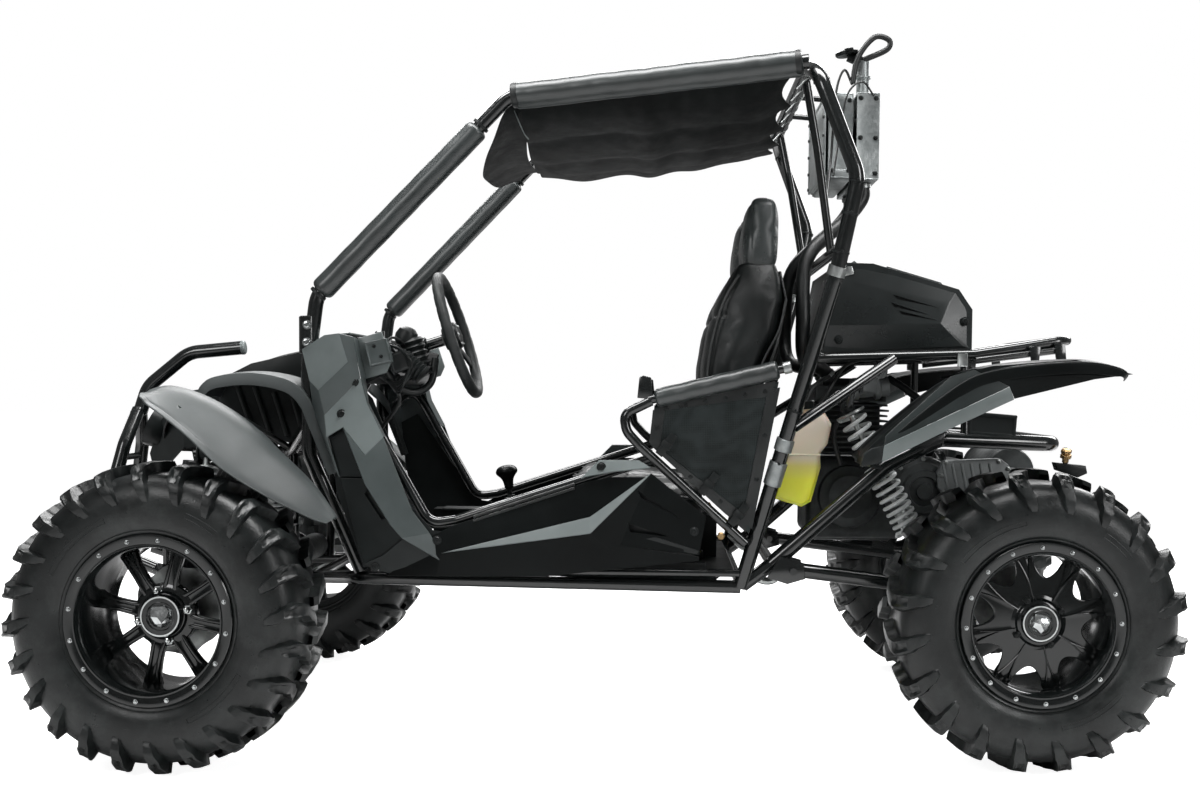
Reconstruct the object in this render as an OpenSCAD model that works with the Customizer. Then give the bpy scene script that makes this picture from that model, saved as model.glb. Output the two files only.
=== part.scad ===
// Two-seat dune buggy with a tubular cage, in millimetres.
// X points forward, Y to the left, Z up. The origin is on the floor under the middle of the vehicle.

/* [Wheels] */
// Distance between the front and rear axles
wheelbase = 1806; // [1780:1:1830]
// How far the front axle stands ahead of the origin
front_axle_x = 890; // [870:1:910]
// Outside radius of a front tyre
front_tyre_r = 316; // [300:1:318]
// Outside radius of a rear tyre
rear_tyre_r = 318; // [300:1:320]
// Section width of a front tyre
front_tyre_w = 205; // [190:1:215]
// Section width of a rear tyre
rear_tyre_w = 255; // [230:1:265]
// Sideways distance from the middle of the vehicle to the middle of a front tyre
front_tyre_y = 610; // [600:1:630]
// Sideways distance from the middle of the vehicle to the middle of a rear tyre
rear_tyre_y = 520; // [515:1:540]
// Radius of the bead seats of the wheels
rim_r = 152; // [150:1:156]
// Radius of the bolted ring on the outside of each wheel
ring_r = 173; // [168:1:176]
// Steering angle of the front wheels at rest, to the right
rest_steer = 5; // [0:1:8]

/* [Tubes] */
// Radius of the main cage tubes
cage_r = 16; // [13:0.5:18]
// Radius of the lower frame tubes
rail_r = 15; // [12:0.5:17]
// Radius of the rack tubes
rack_r = 11; // [9:0.5:13]
// Radius of the foam pads on the windscreen pillars
pad_r = 26; // [22:0.5:30]

/* [Body] */
// Thickness of the plastic panels
panel_t = 4; // [3:0.5:6]
// Sideways distance from the middle to the outer body panels
side_y = 434; // [430:1:440]
// Width of a seat
seat_w = 350; // [320:1:360]
// Sideways distance from the middle to the middle of a seat
seat_y = 207; // [205:1:210]

/* [Steering] */
// Outside radius of the steering wheel
wheel_r = 154; // [140:1:160]
// Radius of the steering wheel's rim section
wheel_grip_r = 13; // [10:0.5:15]
// Tilt of the steering column above level
column_tilt = 18.5; // [15:0.5:22]

/* [Hidden] */
$fn = 32;
rear_axle_x = front_axle_x - wheelbase;
kingpin_x = front_axle_x - 10;
kingpin_y = 500;
column_y = 215;
column_head = [front_axle_x - 529, column_y, 912];
column_axis = [-cos(column_tilt), 0, sin(column_tilt)];
black = "#1d2020";
gloss = "#141616";
grey = "#5c6161";
rubber = "#242626";
steel = "#a9acad";
weld = 1.03; // joint balls are a little fatter than their tubes

// distance behind the front axle, as an X value
function fx(d) = front_axle_x - d;
function flip(p) = [p[0], -p[1], p[2]];

// straight round bar between two points
module bar(a, b, r) {
  d = b - a;
  translate(a) rotate([0, acos(d[2] / norm(d)), atan2(d[1], d[0])]) cylinder(h = norm(d), r = r);
}

// welded run of tube through a list of points
module tube(pts, r) {
  for (i = [0:len(pts) - 2]) bar(pts[i], pts[i + 1], r);
  if (len(pts) > 2) for (i = [1:len(pts) - 2]) translate(pts[i]) sphere(r * weld);
}

module both_sides() {
  children();
  mirror([0, 1, 0]) children();
}

// flat plate with an outline in X and Z, from y0 towards the middle
module side_plate(pts, y0, t) {
  translate([0, y0, 0]) rotate([90, 0, 0]) linear_extrude(t) polygon(pts);
}

// --- frame ---------------------------------------------------------------
pillar = [[fx(345), 372, 380], [fx(236), 412, 640], [fx(232), 416, 838], [fx(249), 416, 988], [fx(662), 412, 1434],
          [fx(1312), 512, 1502]];
hoop_leg = [[fx(1192), 362, 352], [fx(1377), 500, 1036], [fx(1420), 528, 1256],
            [fx(1332), 512, 1478], [fx(1318), 470, 1506], [fx(1318), 0, 1506]];
lower_rail = [[fx(1192), 362, 352], [fx(330), 362, 363], [fx(200), 190, 340],
              [fx(-190), 110, 340], [fx(-280), 95, 372]];
upper_rail = [[fx(232), 416, 700], [fx(150), 215, 640], [fx(-170), 130, 560], [fx(-290), 95, 470]];
door_tube = [[fx(240), 412, 705], [fx(322), 405, 792], [fx(500), 405, 488], [fx(560), 405, 497], [fx(985), 412, 640]];

module chassis_frame() color(gloss) {
  both_sides() {
    tube(lower_rail, rail_r);
    tube(upper_rail, rail_r);
    tube(door_tube, 12);
    bar([fx(150), 213, 632], [fx(150), 175, 345], 11);
    bar([fx(-170), 129, 552], [fx(-170), 112, 340], 11);
    // brackets that the front shocks hang from
    for (x = [fx(-16), fx(-59)]) translate([x, 0, 0]) rotate([90, 0, 90]) linear_extrude(5)
      polygon([[150, 560], [185, 590], [232, 655], [262, 650], [265, 612], [190, 555]]);
    bar([fx(-14), 245, 630], [fx(-66), 245, 630], 8);
  }
  for (d = [1190, 760, 330]) bar([fx(d), -362, d == 760 ? 357 : 358], [fx(d), 362, d == 760 ? 357 : 358], 12);
  bar([fx(200), -190, 340], [fx(200), 190, 340], 12);
  bar([fx(-190), -110, 340], [fx(-190), 110, 340], 12);
  bar([fx(150), -215, 640], [fx(150), 215, 640], 12);
  bar([fx(-170), -130, 560], [fx(-170), 130, 560], 12);
}

arm_pivot = [fx(1308), 392];
rear_low = [[fx(1262), 352, 403], [fx(1516), 362, 630], [fx(1640), 345, 692], [fx(1905), 292, 683],
            [fx(1920), 270, 683], [fx(1920), 0, 683]];
module rear_frame() color(gloss) difference() {
  union() {
    both_sides() {
      tube(rear_low, 16);
      bar([fx(1196), 361, 355], [fx(1262), 352, 403], 14.5);
      bar([fx(1300), 440, 716], [fx(1535), 335, 872], 12);
      // hanger and bolt of the rear shock
      bar([fx(1435), 380, 803], [fx(1435), 324, 762], 9);
      bar([fx(1435), 285, 759], [fx(1435), 332, 759], 8);
      // ears and bolt of the trailing arm's pivot
      for (y = [320, 384]) side_plate([[fx(1258), 384], [fx(1285), 418], [fx(1330), 405], [fx(1328), 372],
                                       [fx(1290), 366]], y, 6);
      bar([arm_pivot[0], 306, arm_pivot[1]], [arm_pivot[0], 392, arm_pivot[1]], 8);

      side_plate([[fx(1490), 603], [fx(1525), 645], [fx(1640), 690], [fx(1560), 630]], 358, 6);
      bar([fx(1700), 336, 690], [fx(1700), 318, 888], 10);
    }
    bar([fx(1262), -352, 403], [fx(1262), 352, 403], 13);
    bar([fx(1640), -345, 692], [fx(1640), 345, 692], 12);
    // tow plate
    translate([fx(1990), -35, 679]) cube([70, 70, 8]);
  }
  translate([fx(1965), 0, 660]) cylinder(h = 50, r = 8.5);
}

module roll_cage() color(gloss) both_sides() tube(pillar, cage_r);

module rear_hoop() color(gloss) {
  both_sides() tube(hoop_leg, cage_r);
  bar([fx(1391), -509, 1110], [fx(1391), 509, 1110], 13);
  bar([fx(1224), -386, 470], [fx(1224), 386, 470], 13);
}

module pillar_pads() color(rubber) both_sides() {
  a = pillar[3];
  b = pillar[4];
  u = (b - a) / norm(b - a);
  difference() {
    bar(a + u * 8, a + u * 512, pad_r);
    bar(a, a + u * 530, cage_r + 0.2);
  }
}

module front_bumper() color(gloss) {
  leg = [[fx(-281), 0, 716], [fx(-295), 60, 640], [fx(-324), 95, 480], [fx(-328), 95, 455],
         [fx(-290), 95, 400]];
  both_sides() {
    tube(leg, 16);
    side_plate([[fx(-305), 560], [fx(-335), 552], [fx(-335), 470], [fx(-318), 455]], 98, 5);
  }
  tube([[fx(-281), 0, 716], [fx(-262), 0, 780], [fx(-163), 0, 865], [fx(-30), 0, 880]], 17);
  bar([fx(-300), -68, 600], [fx(-300), 68, 600], 9);
}

// --- body panels ---------------------------------------------------------
module floor_pan() color(black) {
  translate([fx(1180), -345, 376]) cube([800, 690, panel_t]);
  both_sides() side_plate([[fx(380), 376], [fx(384), 376], [fx(250), 640], [fx(246), 640]], 345, 690);
  // centre tunnel
  translate([fx(1150), -30, 380]) cube([700, 60, 110]);
}

hood_line = [[fx(196), 886], [fx(60), 852], [fx(-100), 775], [fx(-175), 700], [fx(-205), 620]];
module hood() color(black) difference() {
  hood_shell();
  both_sides() lamp_body(49, 80);
}
module lamp_body(r, h) translate([fx(-150), 130, 668]) rotate([0, 68, 0]) cylinder(h = h, r = r);
module hood_shell() {
  n = len(hood_line);
  inner = [for (i = [n - 1:-1:0]) hood_line[i] + [-2, -panel_t]];
  side_plate(concat(hood_line, inner), 250, 500);
  // wings that fall away to the flares
  both_sides() side_plate([[fx(196), 882], [fx(60), 848], [fx(-100), 771], [fx(-60), 700], [fx(196), 800]],
                          254, panel_t);
}

flare_line = [[fx(255), 710], [fx(238), 762], [fx(200), 806], [fx(116), 828], [fx(34), 814], [fx(-12), 780]];
cowl_side = [[fx(222), 868], [fx(271), 900], [fx(325), 908], [fx(338), 800], [fx(362), 756],
             [fx(470), 560], [fx(497), 470], [fx(409), 380], [fx(320), 560], [fx(262), 700]];
module cowl_panels() color(grey) difference() {
  cowl_shell();
  both_sides() bar(pillar[1], pillar[3], cage_r + 1.5);
}
module cowl_shell() {
  both_sides() {
    side_plate(cowl_side, side_y + panel_t, panel_t);
    n = len(flare_line);
    side_plate(concat(flare_line, [for (i = [n - 1:-1:0]) flare_line[i] - [0, 22]]), 425, 170);
  }
  // cross panel ahead of the dash
  side_plate([[fx(222), 868], [fx(271), 900], [fx(325), 908], [fx(325), 903], [fx(273), 895], [fx(222), 863]],
             429.5, 859);
}

sill_outline = [[fx(414), 376], [fx(500), 462], [fx(560), 492], [fx(853), 590], [fx(945), 630],
                [fx(1045), 568], [fx(1098), 520], [fx(1098), 420], [fx(740), 378]];
module sill_panels() color(black) both_sides() side_plate(sill_outline, side_y, panel_t);

front_fender_line = [[fx(-38), 762], [fx(10), 772], [fx(80), 742], [fx(160), 690], [fx(250), 606],
                     [fx(318), 522], [fx(345), 512]];
module front_fenders() color(grey) both_sides() {
  n = len(front_fender_line);
  side_plate(concat(front_fender_line, [for (i = [n - 1:-1:0]) front_fender_line[i] + [-2, -panel_t]]), 700, 205);
  // bracket to the frame
  bar([fx(120), 500, 712], [fx(150), 222, 640], 7);
}

rear_fender_line = [[fx(1432), 640], [fx(1450), 682], [fx(1597), 806], [fx(1689), 852], [fx(1863), 872],
                    [fx(1985), 840]];
module rear_fenders() color(black) both_sides() {
  n = len(rear_fender_line);
  side_plate(concat(rear_fender_line, [for (i = [n - 1:-1:0]) rear_fender_line[i] + [-2, -panel_t]]), 655, 255);
  side_plate([[fx(1450), 682], [fx(1597), 806], [fx(1689), 848], [fx(1737), 812], [fx(1467), 660]],
             655, panel_t);
}

cover_side = [[fx(1412), 1093], [fx(1490), 1092], [fx(1690), 1036], [fx(1722), 990], [fx(1722), 898],
              [fx(1376), 884]];
module engine_cover() color(black) difference() {
  side_plate(cover_side, 300, 600);
  side_plate([for (p = cover_side) [p[0] * 0.98 - 10, (p[1] - 890) * 0.97 + 880]], 300 - panel_t, 600 - 2 * panel_t);
}

rack_rail = [[fx(1352), 318, 870], [fx(1722), 318, 886], [fx(1930), 300, 921], [fx(1950), 268, 924],
             [fx(1950), 0, 924]];
module rear_rack() color(gloss) difference() {
  union() {
    both_sides() {
      tube(rack_rail, rack_r);
      translate([fx(1890), 275, 905]) cube([50, 36, 5]);
      translate([fx(1790), 283, 893]) cube([50, 36, 5]);
    }
  }
  both_sides() for (p = [[1865, 288], [1765, 288]]) translate([fx(p[0]), p[1], 880]) cylinder(h = 60, r = 4.5);
}

module roof_canopy() color(rubber) {
  // fabric slung between the roof rails, with a rolled sleeve round each rail
  a = pillar[4];
  b = pillar[5];
  u = (b - a) / norm(b - a);
  both_sides() difference() {
    bar(a + u * 22, a + u * 640, 27);
    bar(a, a + u * 680, cage_r + 0.2);
  }
  side_plate([[fx(690), 1408], [fx(1290), 1468], [fx(1290), 1460], [fx(690), 1400]], 384, 768);
}

module headlights() color("#d8dcdc") both_sides() lamp_body(48, 60);

// --- cockpit -------------------------------------------------------------
seat_base = [[fx(770), 566], [fx(790), 590], [fx(1095), 560], [fx(1120), 540], [fx(1120), 470], [fx(780), 470]];
seat_back = [[fx(1098), 561], [fx(1096), 830], [fx(1118), 985], [fx(1178), 1090], [fx(1196), 1130],
             [fx(1193), 1215], [fx(1225), 1248], [fx(1260), 1242], [fx(1262), 1100], [fx(1292), 1010],
             [fx(1272), 900], [fx(1215), 800], [fx(1170), 561]];
module seat() {
  side_plate(seat_base, seat_w / 2, seat_w);
  intersection() {
    side_plate(seat_back, seat_w / 2, seat_w);
    union() {
      translate([fx(1400), -seat_w / 2, 500]) cube([400, seat_w, 590]);
      translate([fx(1400), -115, 1000]) cube([400, 230, 300]);
    }
  }
  // runners on the floor
  for (s = [-1, 1]) translate([fx(1110), s * 120 - 12, 380]) cube([320, 24, 90]);
}
module driver_seat() color(black) translate([0, seat_y, 0]) seat();
module passenger_seat() color(black) translate([0, -seat_y, 0]) seat();

net_frame = [[fx(985), 425, 768], [fx(925), 428, 738], [fx(932), 428, 700], [fx(962), 428, 668],
             [fx(1200), 405, 455]];
net_bar_ends = [[fx(980), 425, 770], [fx(1290), 462, 848]];
module net_bars() color(rubber) both_sides() {
  a = net_bar_ends[0];
  b = net_bar_ends[1];
  u = (b - a) / norm(b - a);
  difference() {
    union() {
      bar(a, b, 10);
      bar(a + u * 14, b - u * 28, 21);
    }
  }
  tube(net_frame, 11);
}

module side_nets() color("#3a3f3f") both_sides()
  side_plate([[fx(995), 745], [fx(1262), 812], [fx(1212), 492], [fx(1200), 478]], 432, 3);

module dash_panel() color(grey) difference() {
  dash_shell();
  bar(column_head + column_axis * 10, column_head - column_axis * 300, 17);
}
module dash_shell() {
  difference() {
    side_plate([[fx(332), 898], [fx(372), 896], [fx(392), 822], [fx(345), 790]], 380, 760);
    side_plate([[fx(330), 892], [fx(368), 890], [fx(386), 826], [fx(343), 797]], 376, 752);
  }
  // switch box at the driver's side
  translate([fx(388), 330, 838]) cube([30, 46, 40]);
  // gauge
  translate([fx(382), 60, 862]) rotate([0, -70, 0]) cylinder(h = 36, r = 40);
}

module steering_column() color(black) {
  low = column_head - column_axis * 190;
  bar(low, column_head - column_axis * 34, 15);
  translate(low) rotate([40, 0, 30]) sphere(21); // the elbow
  bar(low, [kingpin_x - 106, 70, 470], 10.5);
}

module steering_wheel() color(black) translate(column_head) rotate([0, -(90 - column_tilt), 0]) {
  rotate_extrude($fn = 64) translate([wheel_r - wheel_grip_r, 0]) circle(r = wheel_grip_r);
  translate([0, 0, -28]) cylinder(h = 40, r = 34);
  for (a = [0, 120, 240]) rotate(a) translate([20, -14, -4]) cube([wheel_r - wheel_grip_r - 20, 28, 6]);
}

module shift_lever() color(black) {
  bar([fx(640), 0, 492], [fx(628), 0, 560], 6);
  translate([fx(624), 0, 572]) sphere(20);
}

module pedals() color(steel) for (y = [150, 250]) {
  translate([fx(330), y - 30, 560]) rotate([0, 25, 0]) cube([8, 60, 70]);
  bar([fx(322), y, 600], [fx(262), y, 660], 7);
}

// --- cooling -------------------------------------------------------------
module radiator() color(steel) {
  translate([fx(1455), -178, 1305]) cube([62, 356, 205]);
  translate([fx(1516), -188, 1298]) cube([60.5, 376, 212]);
  translate([fx(1478), 150, 1509]) cylinder(h = 40, r = 16);
  for (y = [-120, 120]) bar([fx(1318), y, 1506], [fx(1460), y, 1490], 7);
}

module radiator_hoses() color(rubber) {
  tube([[fx(1478), 150, 1550], [fx(1440), 150, 1600]], 15);
  translate([fx(1440), 150, 1600]) rotate([0, 10, 0]) cylinder(h = 14, r = 29);
  tube([[fx(1450), 178, 1530], [fx(1462), 178, 1590], [fx(1500), 178, 1634], [fx(1535), 178, 1636],
        [fx(1530), 178, 1612], [fx(1478), 160, 1590]], 8);
  for (s = [0, 1]) mirror([0, s, 0])
    tube([[fx(1486), 120, 1297.8], [fx(1484), 122, 1262], [fx(1440), 140, 1205], [fx(1347), 200, 1110],
          [fx(1335), 240, 960], [fx(1345), 200, 872], [fx(1400), 80, 850], [fx(1420), 60, 831]], 17);
}

module coolant_bottle() color("#d9e021") side_plate(
  [[fx(1300), 738], [fx(1345), 760], [fx(1385), 735], [fx(1395), 640], [fx(1385), 552], [fx(1370), 530],
   [fx(1290), 545], [fx(1275), 580], [fx(1282), 650]], 375, 90);

// --- drive line ----------------------------------------------------------
module engine() color("#303434") translate([fx(1620), -150, 430]) cube([270, 260, 400]);

module transmission() color("#3a3e3e") {
  translate([fx(1625), 112, 565]) rotate([-90, 0, 0]) cylinder(h = 150, r = 82);
  translate([fx(1870), 112, 480]) cube([210, 130, 140]);
  translate([fx(1880), -113, 240]) cube([150, 224, 180]);
}

module muffler() color("#2b2e2e") {
  translate([fx(1890), -300, 600]) rotate([-90, 0, 0]) cylinder(h = 300, r = 62);
  bar([fx(1625), -240, 560], [fx(1840), -240, 590], 18);
}

module half_shafts() color(black) both_sides() {
  bar([rear_axle_x, 120, 318], [rear_axle_x, 325, 318], 13);
  bar([rear_axle_x, 114, 318], [rear_axle_x, 176, 318], 36);
  bar([rear_axle_x, 280, 318], [rear_axle_x, 329, 318], 34);
}

// --- suspension ----------------------------------------------------------
// two tubes that meet in a ball joint block on the kingpin's line, with its stud
module wishbone(front, rear, z, stud_z) {
  bar(front, [kingpin_x + 14, 452, z], 12);
  bar(rear, [kingpin_x - 14, 452, z], 12);
  translate([kingpin_x - 28, 440, z - 12]) cube([56, 78, 24]);
  translate([kingpin_x, kingpin_y, stud_z]) cylinder(h = 22, r = 8);
}
module front_arms() color(black) both_sides() {
  wishbone([fx(-190), 112, 345], [fx(150), 180, 345], 278, 289);
  wishbone([fx(-190), 126, 470], [fx(150), 192, 470], 432, 399);
  // crossbar that the shock stands on
  bar([fx(-34), 400, 289], [fx(50), 400, 291], 9);
}

module shock(a, b, r) {
  u = (b - a) / norm(b - a);
  l = norm(b - a);
  bar(a, b, 8);
  bar(a + u * l * 0.12, a + u * l * 0.72, r);
  bar(a + u * l * 0.70, a + u * l * 0.88, r * 0.55);
}
module eye(p, axis_turn) translate(p) rotate([0, 0, axis_turn]) rotate([-90, 0, 0])
  translate([0, 0, -12]) cylinder(h = 24, r = 15);

front_shock = [[fx(-40), 245, 630], [fx(-4), 400, 296]];
rear_shock = [[fx(1435), 297, 759], [fx(1622), 316, 402]];
module front_shocks() color(steel) both_sides() {
  shock(front_shock[0], front_shock[1], 27);
  for (p = front_shock) eye(p, 90);
}
module rear_shocks() color(steel) both_sides() {
  shock(rear_shock[0], rear_shock[1], 30);
  for (p = rear_shock) eye(p, 0);
}

module knuckle() color(black) {
  // drawn with the kingpin on the Z axis and the spindle along +Y
  difference() {
    union() {
      bar([0, 0, 292], [0, 0, 418], 19);
      translate([-26, -16, 300]) cube([52, 40, 90]);
      bar([0, 20, front_tyre_r], [0, 52, front_tyre_r], 22);
      bar([0, 50, front_tyre_r], [0, 78, front_tyre_r], 12);
      bar([-10, 0, 345], [-105, -8, 350], 11);
    }
    for (z = [280, 398]) translate([0, 0, z]) cylinder(h = 32, r = 8.06);
    translate([-105, -8, 356]) cylinder(h = 30, r = 16);
  }
}
module place_knuckle(side) translate([kingpin_x, side * kingpin_y, 0]) rotate([0, 0, -rest_steer])
  mirror([0, side < 0 ? 1 : 0, 0]) children();
module knuckle_left() place_knuckle(1) knuckle();
module knuckle_right() place_knuckle(-1) knuckle();

function turned(p, a) = [p[0] * cos(a) - p[1] * sin(a), p[0] * sin(a) + p[1] * cos(a)];
tie_reach = 385; // length of a tie rod
module tie_rod(side) color(steel) {
  e = turned([-105, -8 * side], -rest_steer);
  p = [kingpin_x + e[0], side * kingpin_y + e[1], 374];
  bar(p - [0, 0, 12], p + [0, 0, 12], 13);
  bar(p, p - [0, side * tie_reach, 0], 7);
}
module tie_rod_left() tie_rod(1);
module tie_rod_right() tie_rod(-1);

module steering_rack() color(black) {
  x = kingpin_x - 106;
  difference() {
    bar([x, -160, 374], [x, 160, 374], 32);
    both_sides() bar([x, 44, 374], [x, 170, 374], 28);
  }
  bar([x, 70, 404], [x, 70, 462], 13);
}

module rear_arms() color(black) both_sides() {
  bar([arm_pivot[0], 326, arm_pivot[1]], [arm_pivot[0], 372, arm_pivot[1]], 18);
  bar([arm_pivot[0], 350, arm_pivot[1]], [rear_axle_x + 70, 350, 342], 17);
  // ear and bolt of the shock's foot
  side_plate([[fx(1590), 370], [fx(1605), 420], [fx(1638), 420], [fx(1655), 360]], 338, 6);
  bar([fx(1622), 300, 402], [fx(1622), 344, 402], 8);
  translate([rear_axle_x - 40, 334, 270]) cube([112, 30, 100]);
  bar([rear_axle_x, 330, 318], [rear_axle_x, 382, 318], 42);
  bar([rear_axle_x, 380, 318], [rear_axle_x, 426, 318], 20);
}

// --- wheels --------------------------------------------------------------
// half outline of a tyre as [radius, offset], from bead to crown
function tyre_half(r, w) = [[rim_r + 3, 0.36 * w], [rim_r + 22, 0.40 * w], [rim_r + 30, 0.46 * w], [rim_r + 55, 0.5 * w],
                            [rim_r + 88, 0.5 * w], [r - 40, 0.485 * w], [r - 18, 0.455 * w],
                            [r - 5, 0.40 * w], [r, 0.26 * w]];
module tyre(r, w) color(rubber) rotate([-90, 0, 0]) rotate_extrude($fn = 72) {
  outer = tyre_half(r, w);
  inner = tyre_half(r - 24, w - 26);
  n = len(outer);
  difference() {
    polygon(concat(outer, [for (i = [n - 1:-1:0]) [outer[i][0], -outer[i][1]]]));
    polygon(concat([[rim_r, 0.31 * w]], [for (i = [1:n - 1]) inner[i]],
                   [for (i = [n - 1:-1:1]) [inner[i][0], -inner[i][1]]], [[rim_r, -0.31 * w]]));
  }
}

// wheel centred on the tyre's middle plane, outside towards +Y; its disc sits dish behind the ring,
// and its hub reaches in to the brake disc at brake_y
module rim(w, dish, brake_y, bore_r) color(gloss) rotate([-90, 0, 0]) difference() {
  face = w * 0.5 - 8;
  hub_back = face - dish - 30;
  union() {
    rotate_extrude($fn = 72) polygon([[rim_r - 7, -face], [rim_r + 13, -face], [rim_r + 13, -face + 5],
      [rim_r, -face + 8], [rim_r, face - 8], [ring_r, face - 6], [ring_r, face + 3], [rim_r - 14, face + 3],
      [rim_r - 7, face - 8]]);
    translate([0, 0, face - dish - 12]) cylinder(h = 12, r = rim_r - 6);
    translate([0, 0, hub_back]) cylinder(h = 44, r = 44);
    translate([0, 0, brake_y]) cylinder(h = 5, r = 95);
    translate([0, 0, brake_y + 2]) cylinder(h = hub_back - brake_y, r = 30);
  }
  for (i = [0:7]) rotate(i * 45) translate([93, 0, face - dish - 20]) cylinder(h = 30, r = 27);
  for (i = [0:3]) rotate(i * 90 + 45) translate([36, 0, hub_back + 20]) cylinder(h = 40, r = 4);
  translate([0, 0, brake_y - 1]) cylinder(h = 30, r = bore_r);
}

module place_front(side) translate([kingpin_x, side * kingpin_y, front_tyre_r]) rotate([0, 0, -rest_steer])
  translate([0, side * (front_tyre_y - kingpin_y), 0]) mirror([0, side < 0 ? 1 : 0, 0]) children();
module place_rear(side) translate([rear_axle_x, side * rear_tyre_y, rear_tyre_r])
  mirror([0, side < 0 ? 1 : 0, 0]) children();

module tyre_front_left() place_front(1) tyre(front_tyre_r, front_tyre_w);
module tyre_front_right() place_front(-1) tyre(front_tyre_r, front_tyre_w);
module tyre_rear_left() place_rear(1) tyre(rear_tyre_r, rear_tyre_w);
module tyre_rear_right() place_rear(-1) tyre(rear_tyre_r, rear_tyre_w);
module rim_front_left() place_front(1) rim(front_tyre_w, 90, -56, 12.06);
module rim_front_right() place_front(-1) rim(front_tyre_w, 90, -56, 12.06);
module rim_rear_left() place_rear(1) rim(rear_tyre_w, 55, -118, 20.06);
module rim_rear_right() place_rear(-1) rim(rear_tyre_w, 55, -118, 20.06);

chassis_frame();
rear_frame();
roll_cage();
rear_hoop();
pillar_pads();
roof_canopy();
floor_pan();
hood();
cowl_panels();
sill_panels();
front_fenders();
rear_fenders();
engine_cover();
rear_rack();
front_bumper();
headlights();
driver_seat();
passenger_seat();
net_bars();
side_nets();
dash_panel();
steering_column();
steering_wheel();
radiator();
radiator_hoses();
coolant_bottle();
engine();
transmission();
muffler();
steering_rack();
front_arms();
front_shocks();
knuckle_left();
knuckle_right();
tie_rod_left();
tie_rod_right();
rear_arms();
rear_shocks();
half_shafts();
shift_lever();
pedals();
tyre_front_left();
tyre_front_right();
tyre_rear_left();
tyre_rear_right();
rim_front_left();
rim_front_right();
rim_rear_left();
rim_rear_right();
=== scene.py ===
# Two-seat dune buggy: the looks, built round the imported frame.
# X points forward, Y to the left, Z up, in metres; sizes in the dictionaries are in millimetres.
import random
from math import copysign, cos, degrees, dist, exp, hypot, pi, radians, sin, sqrt, tan, tau

import bpy
from mathutils import Matrix, Vector


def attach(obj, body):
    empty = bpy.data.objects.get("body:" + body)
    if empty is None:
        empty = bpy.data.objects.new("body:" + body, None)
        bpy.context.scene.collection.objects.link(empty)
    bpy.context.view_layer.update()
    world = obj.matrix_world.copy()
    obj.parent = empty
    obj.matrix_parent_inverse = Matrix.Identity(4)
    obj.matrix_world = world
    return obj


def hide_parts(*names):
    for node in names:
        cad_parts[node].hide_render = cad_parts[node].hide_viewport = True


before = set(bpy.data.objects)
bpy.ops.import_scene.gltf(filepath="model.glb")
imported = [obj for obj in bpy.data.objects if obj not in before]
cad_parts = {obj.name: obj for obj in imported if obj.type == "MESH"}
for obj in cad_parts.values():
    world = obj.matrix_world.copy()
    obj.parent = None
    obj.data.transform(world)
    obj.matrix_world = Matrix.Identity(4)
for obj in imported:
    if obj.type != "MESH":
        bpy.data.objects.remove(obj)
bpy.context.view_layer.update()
print("frame loaded")

frontAxle = 890  # how far the front axle stands ahead of the origin
rearAxle = -916


# a point from millimetres: back from the front axle, out to the left, up from the floor
def at(back, out, up):
    return Vector(((frontAxle - back) / 1000, out / 1000, up / 1000))


# how far behind the front axle a point of a mesh lies, in millimetres
def backOf(p):
    return frontAxle - p.x * 1000


acrossY = Matrix.Scale(-1, 4, (0, 1, 0))  # from one side of the buggy to the other


def mirrored(p):
    return Vector((p[0], -p[1], p[2]))


def bothWays(points):
    return points + [mirrored(p) for p in reversed(points)]


# --- tools for modelling
def nothingPicked():
    if bpy.context.object and bpy.context.object.mode != "OBJECT":
        bpy.ops.object.mode_set(mode="OBJECT")
    bpy.ops.object.select_all(action="DESELECT")


def pickOnly(piece):
    nothingPicked()
    piece.select_set(True)
    bpy.context.view_layer.objects.active = piece


def inEditMode(piece, work):
    pickOnly(piece)
    bpy.ops.object.mode_set(mode="EDIT")
    bpy.ops.mesh.select_all(action="SELECT")
    work()
    bpy.ops.object.mode_set(mode="OBJECT")


def named(name):
    piece = bpy.context.object
    piece.name = name
    piece.data.name = name
    return piece


def settled(piece):
    pickOnly(piece)
    bpy.ops.object.transform_apply(location=True, rotation=True, scale=True)
    return piece


def weld(piece, distance):
    inEditMode(piece, lambda: bpy.ops.mesh.remove_doubles(threshold=distance))


def closeEnds(piece):
    inEditMode(piece, lambda: bpy.ops.mesh.fill_holes(sides=0))


def outwards(piece):
    inEditMode(piece, lambda: bpy.ops.mesh.normals_make_consistent(inside=False))
    return piece


# turns a sheet's faces over when they look away from a direction
def facing(piece, direction):
    total = Vector((0, 0, 0))
    for face in piece.data.polygons:
        total += face.normal * face.area
    if total.dot(Vector(direction)) < 0:
        piece.data.flip_normals()
    return piece


def addModifier(piece, kind, **values):
    step = piece.modifiers.new(kind, kind)
    for key, value in values.items():
        setattr(step, key, value)
    pickOnly(piece)
    bpy.ops.object.modifier_apply(modifier=step.name)
    return piece


def rounded(piece, width, segments=2, angle=35):
    return addModifier(piece, "BEVEL", width=width / 1000, segments=segments, limit_method="ANGLE",
                       angle_limit=radians(angle), harden_normals=False)


def softened(piece, levels=1):
    return addModifier(piece, "SUBSURF", levels=levels, render_levels=levels)


def thickened(piece, thick, offset=-1.0):
    return addModifier(piece, "SOLIDIFY", thickness=thick / 1000, offset=offset, use_even_offset=False)


def smooth(piece, angle=35):
    pickOnly(piece)
    bpy.ops.object.shade_smooth_by_angle(angle=radians(angle))
    return piece


def joined(name, pieces):
    nothingPicked()
    for piece in pieces:
        piece.select_set(True)
    bpy.context.view_layer.objects.active = pieces[0]
    if len(pieces) > 1:
        bpy.ops.object.join()
    return named(name)


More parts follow.
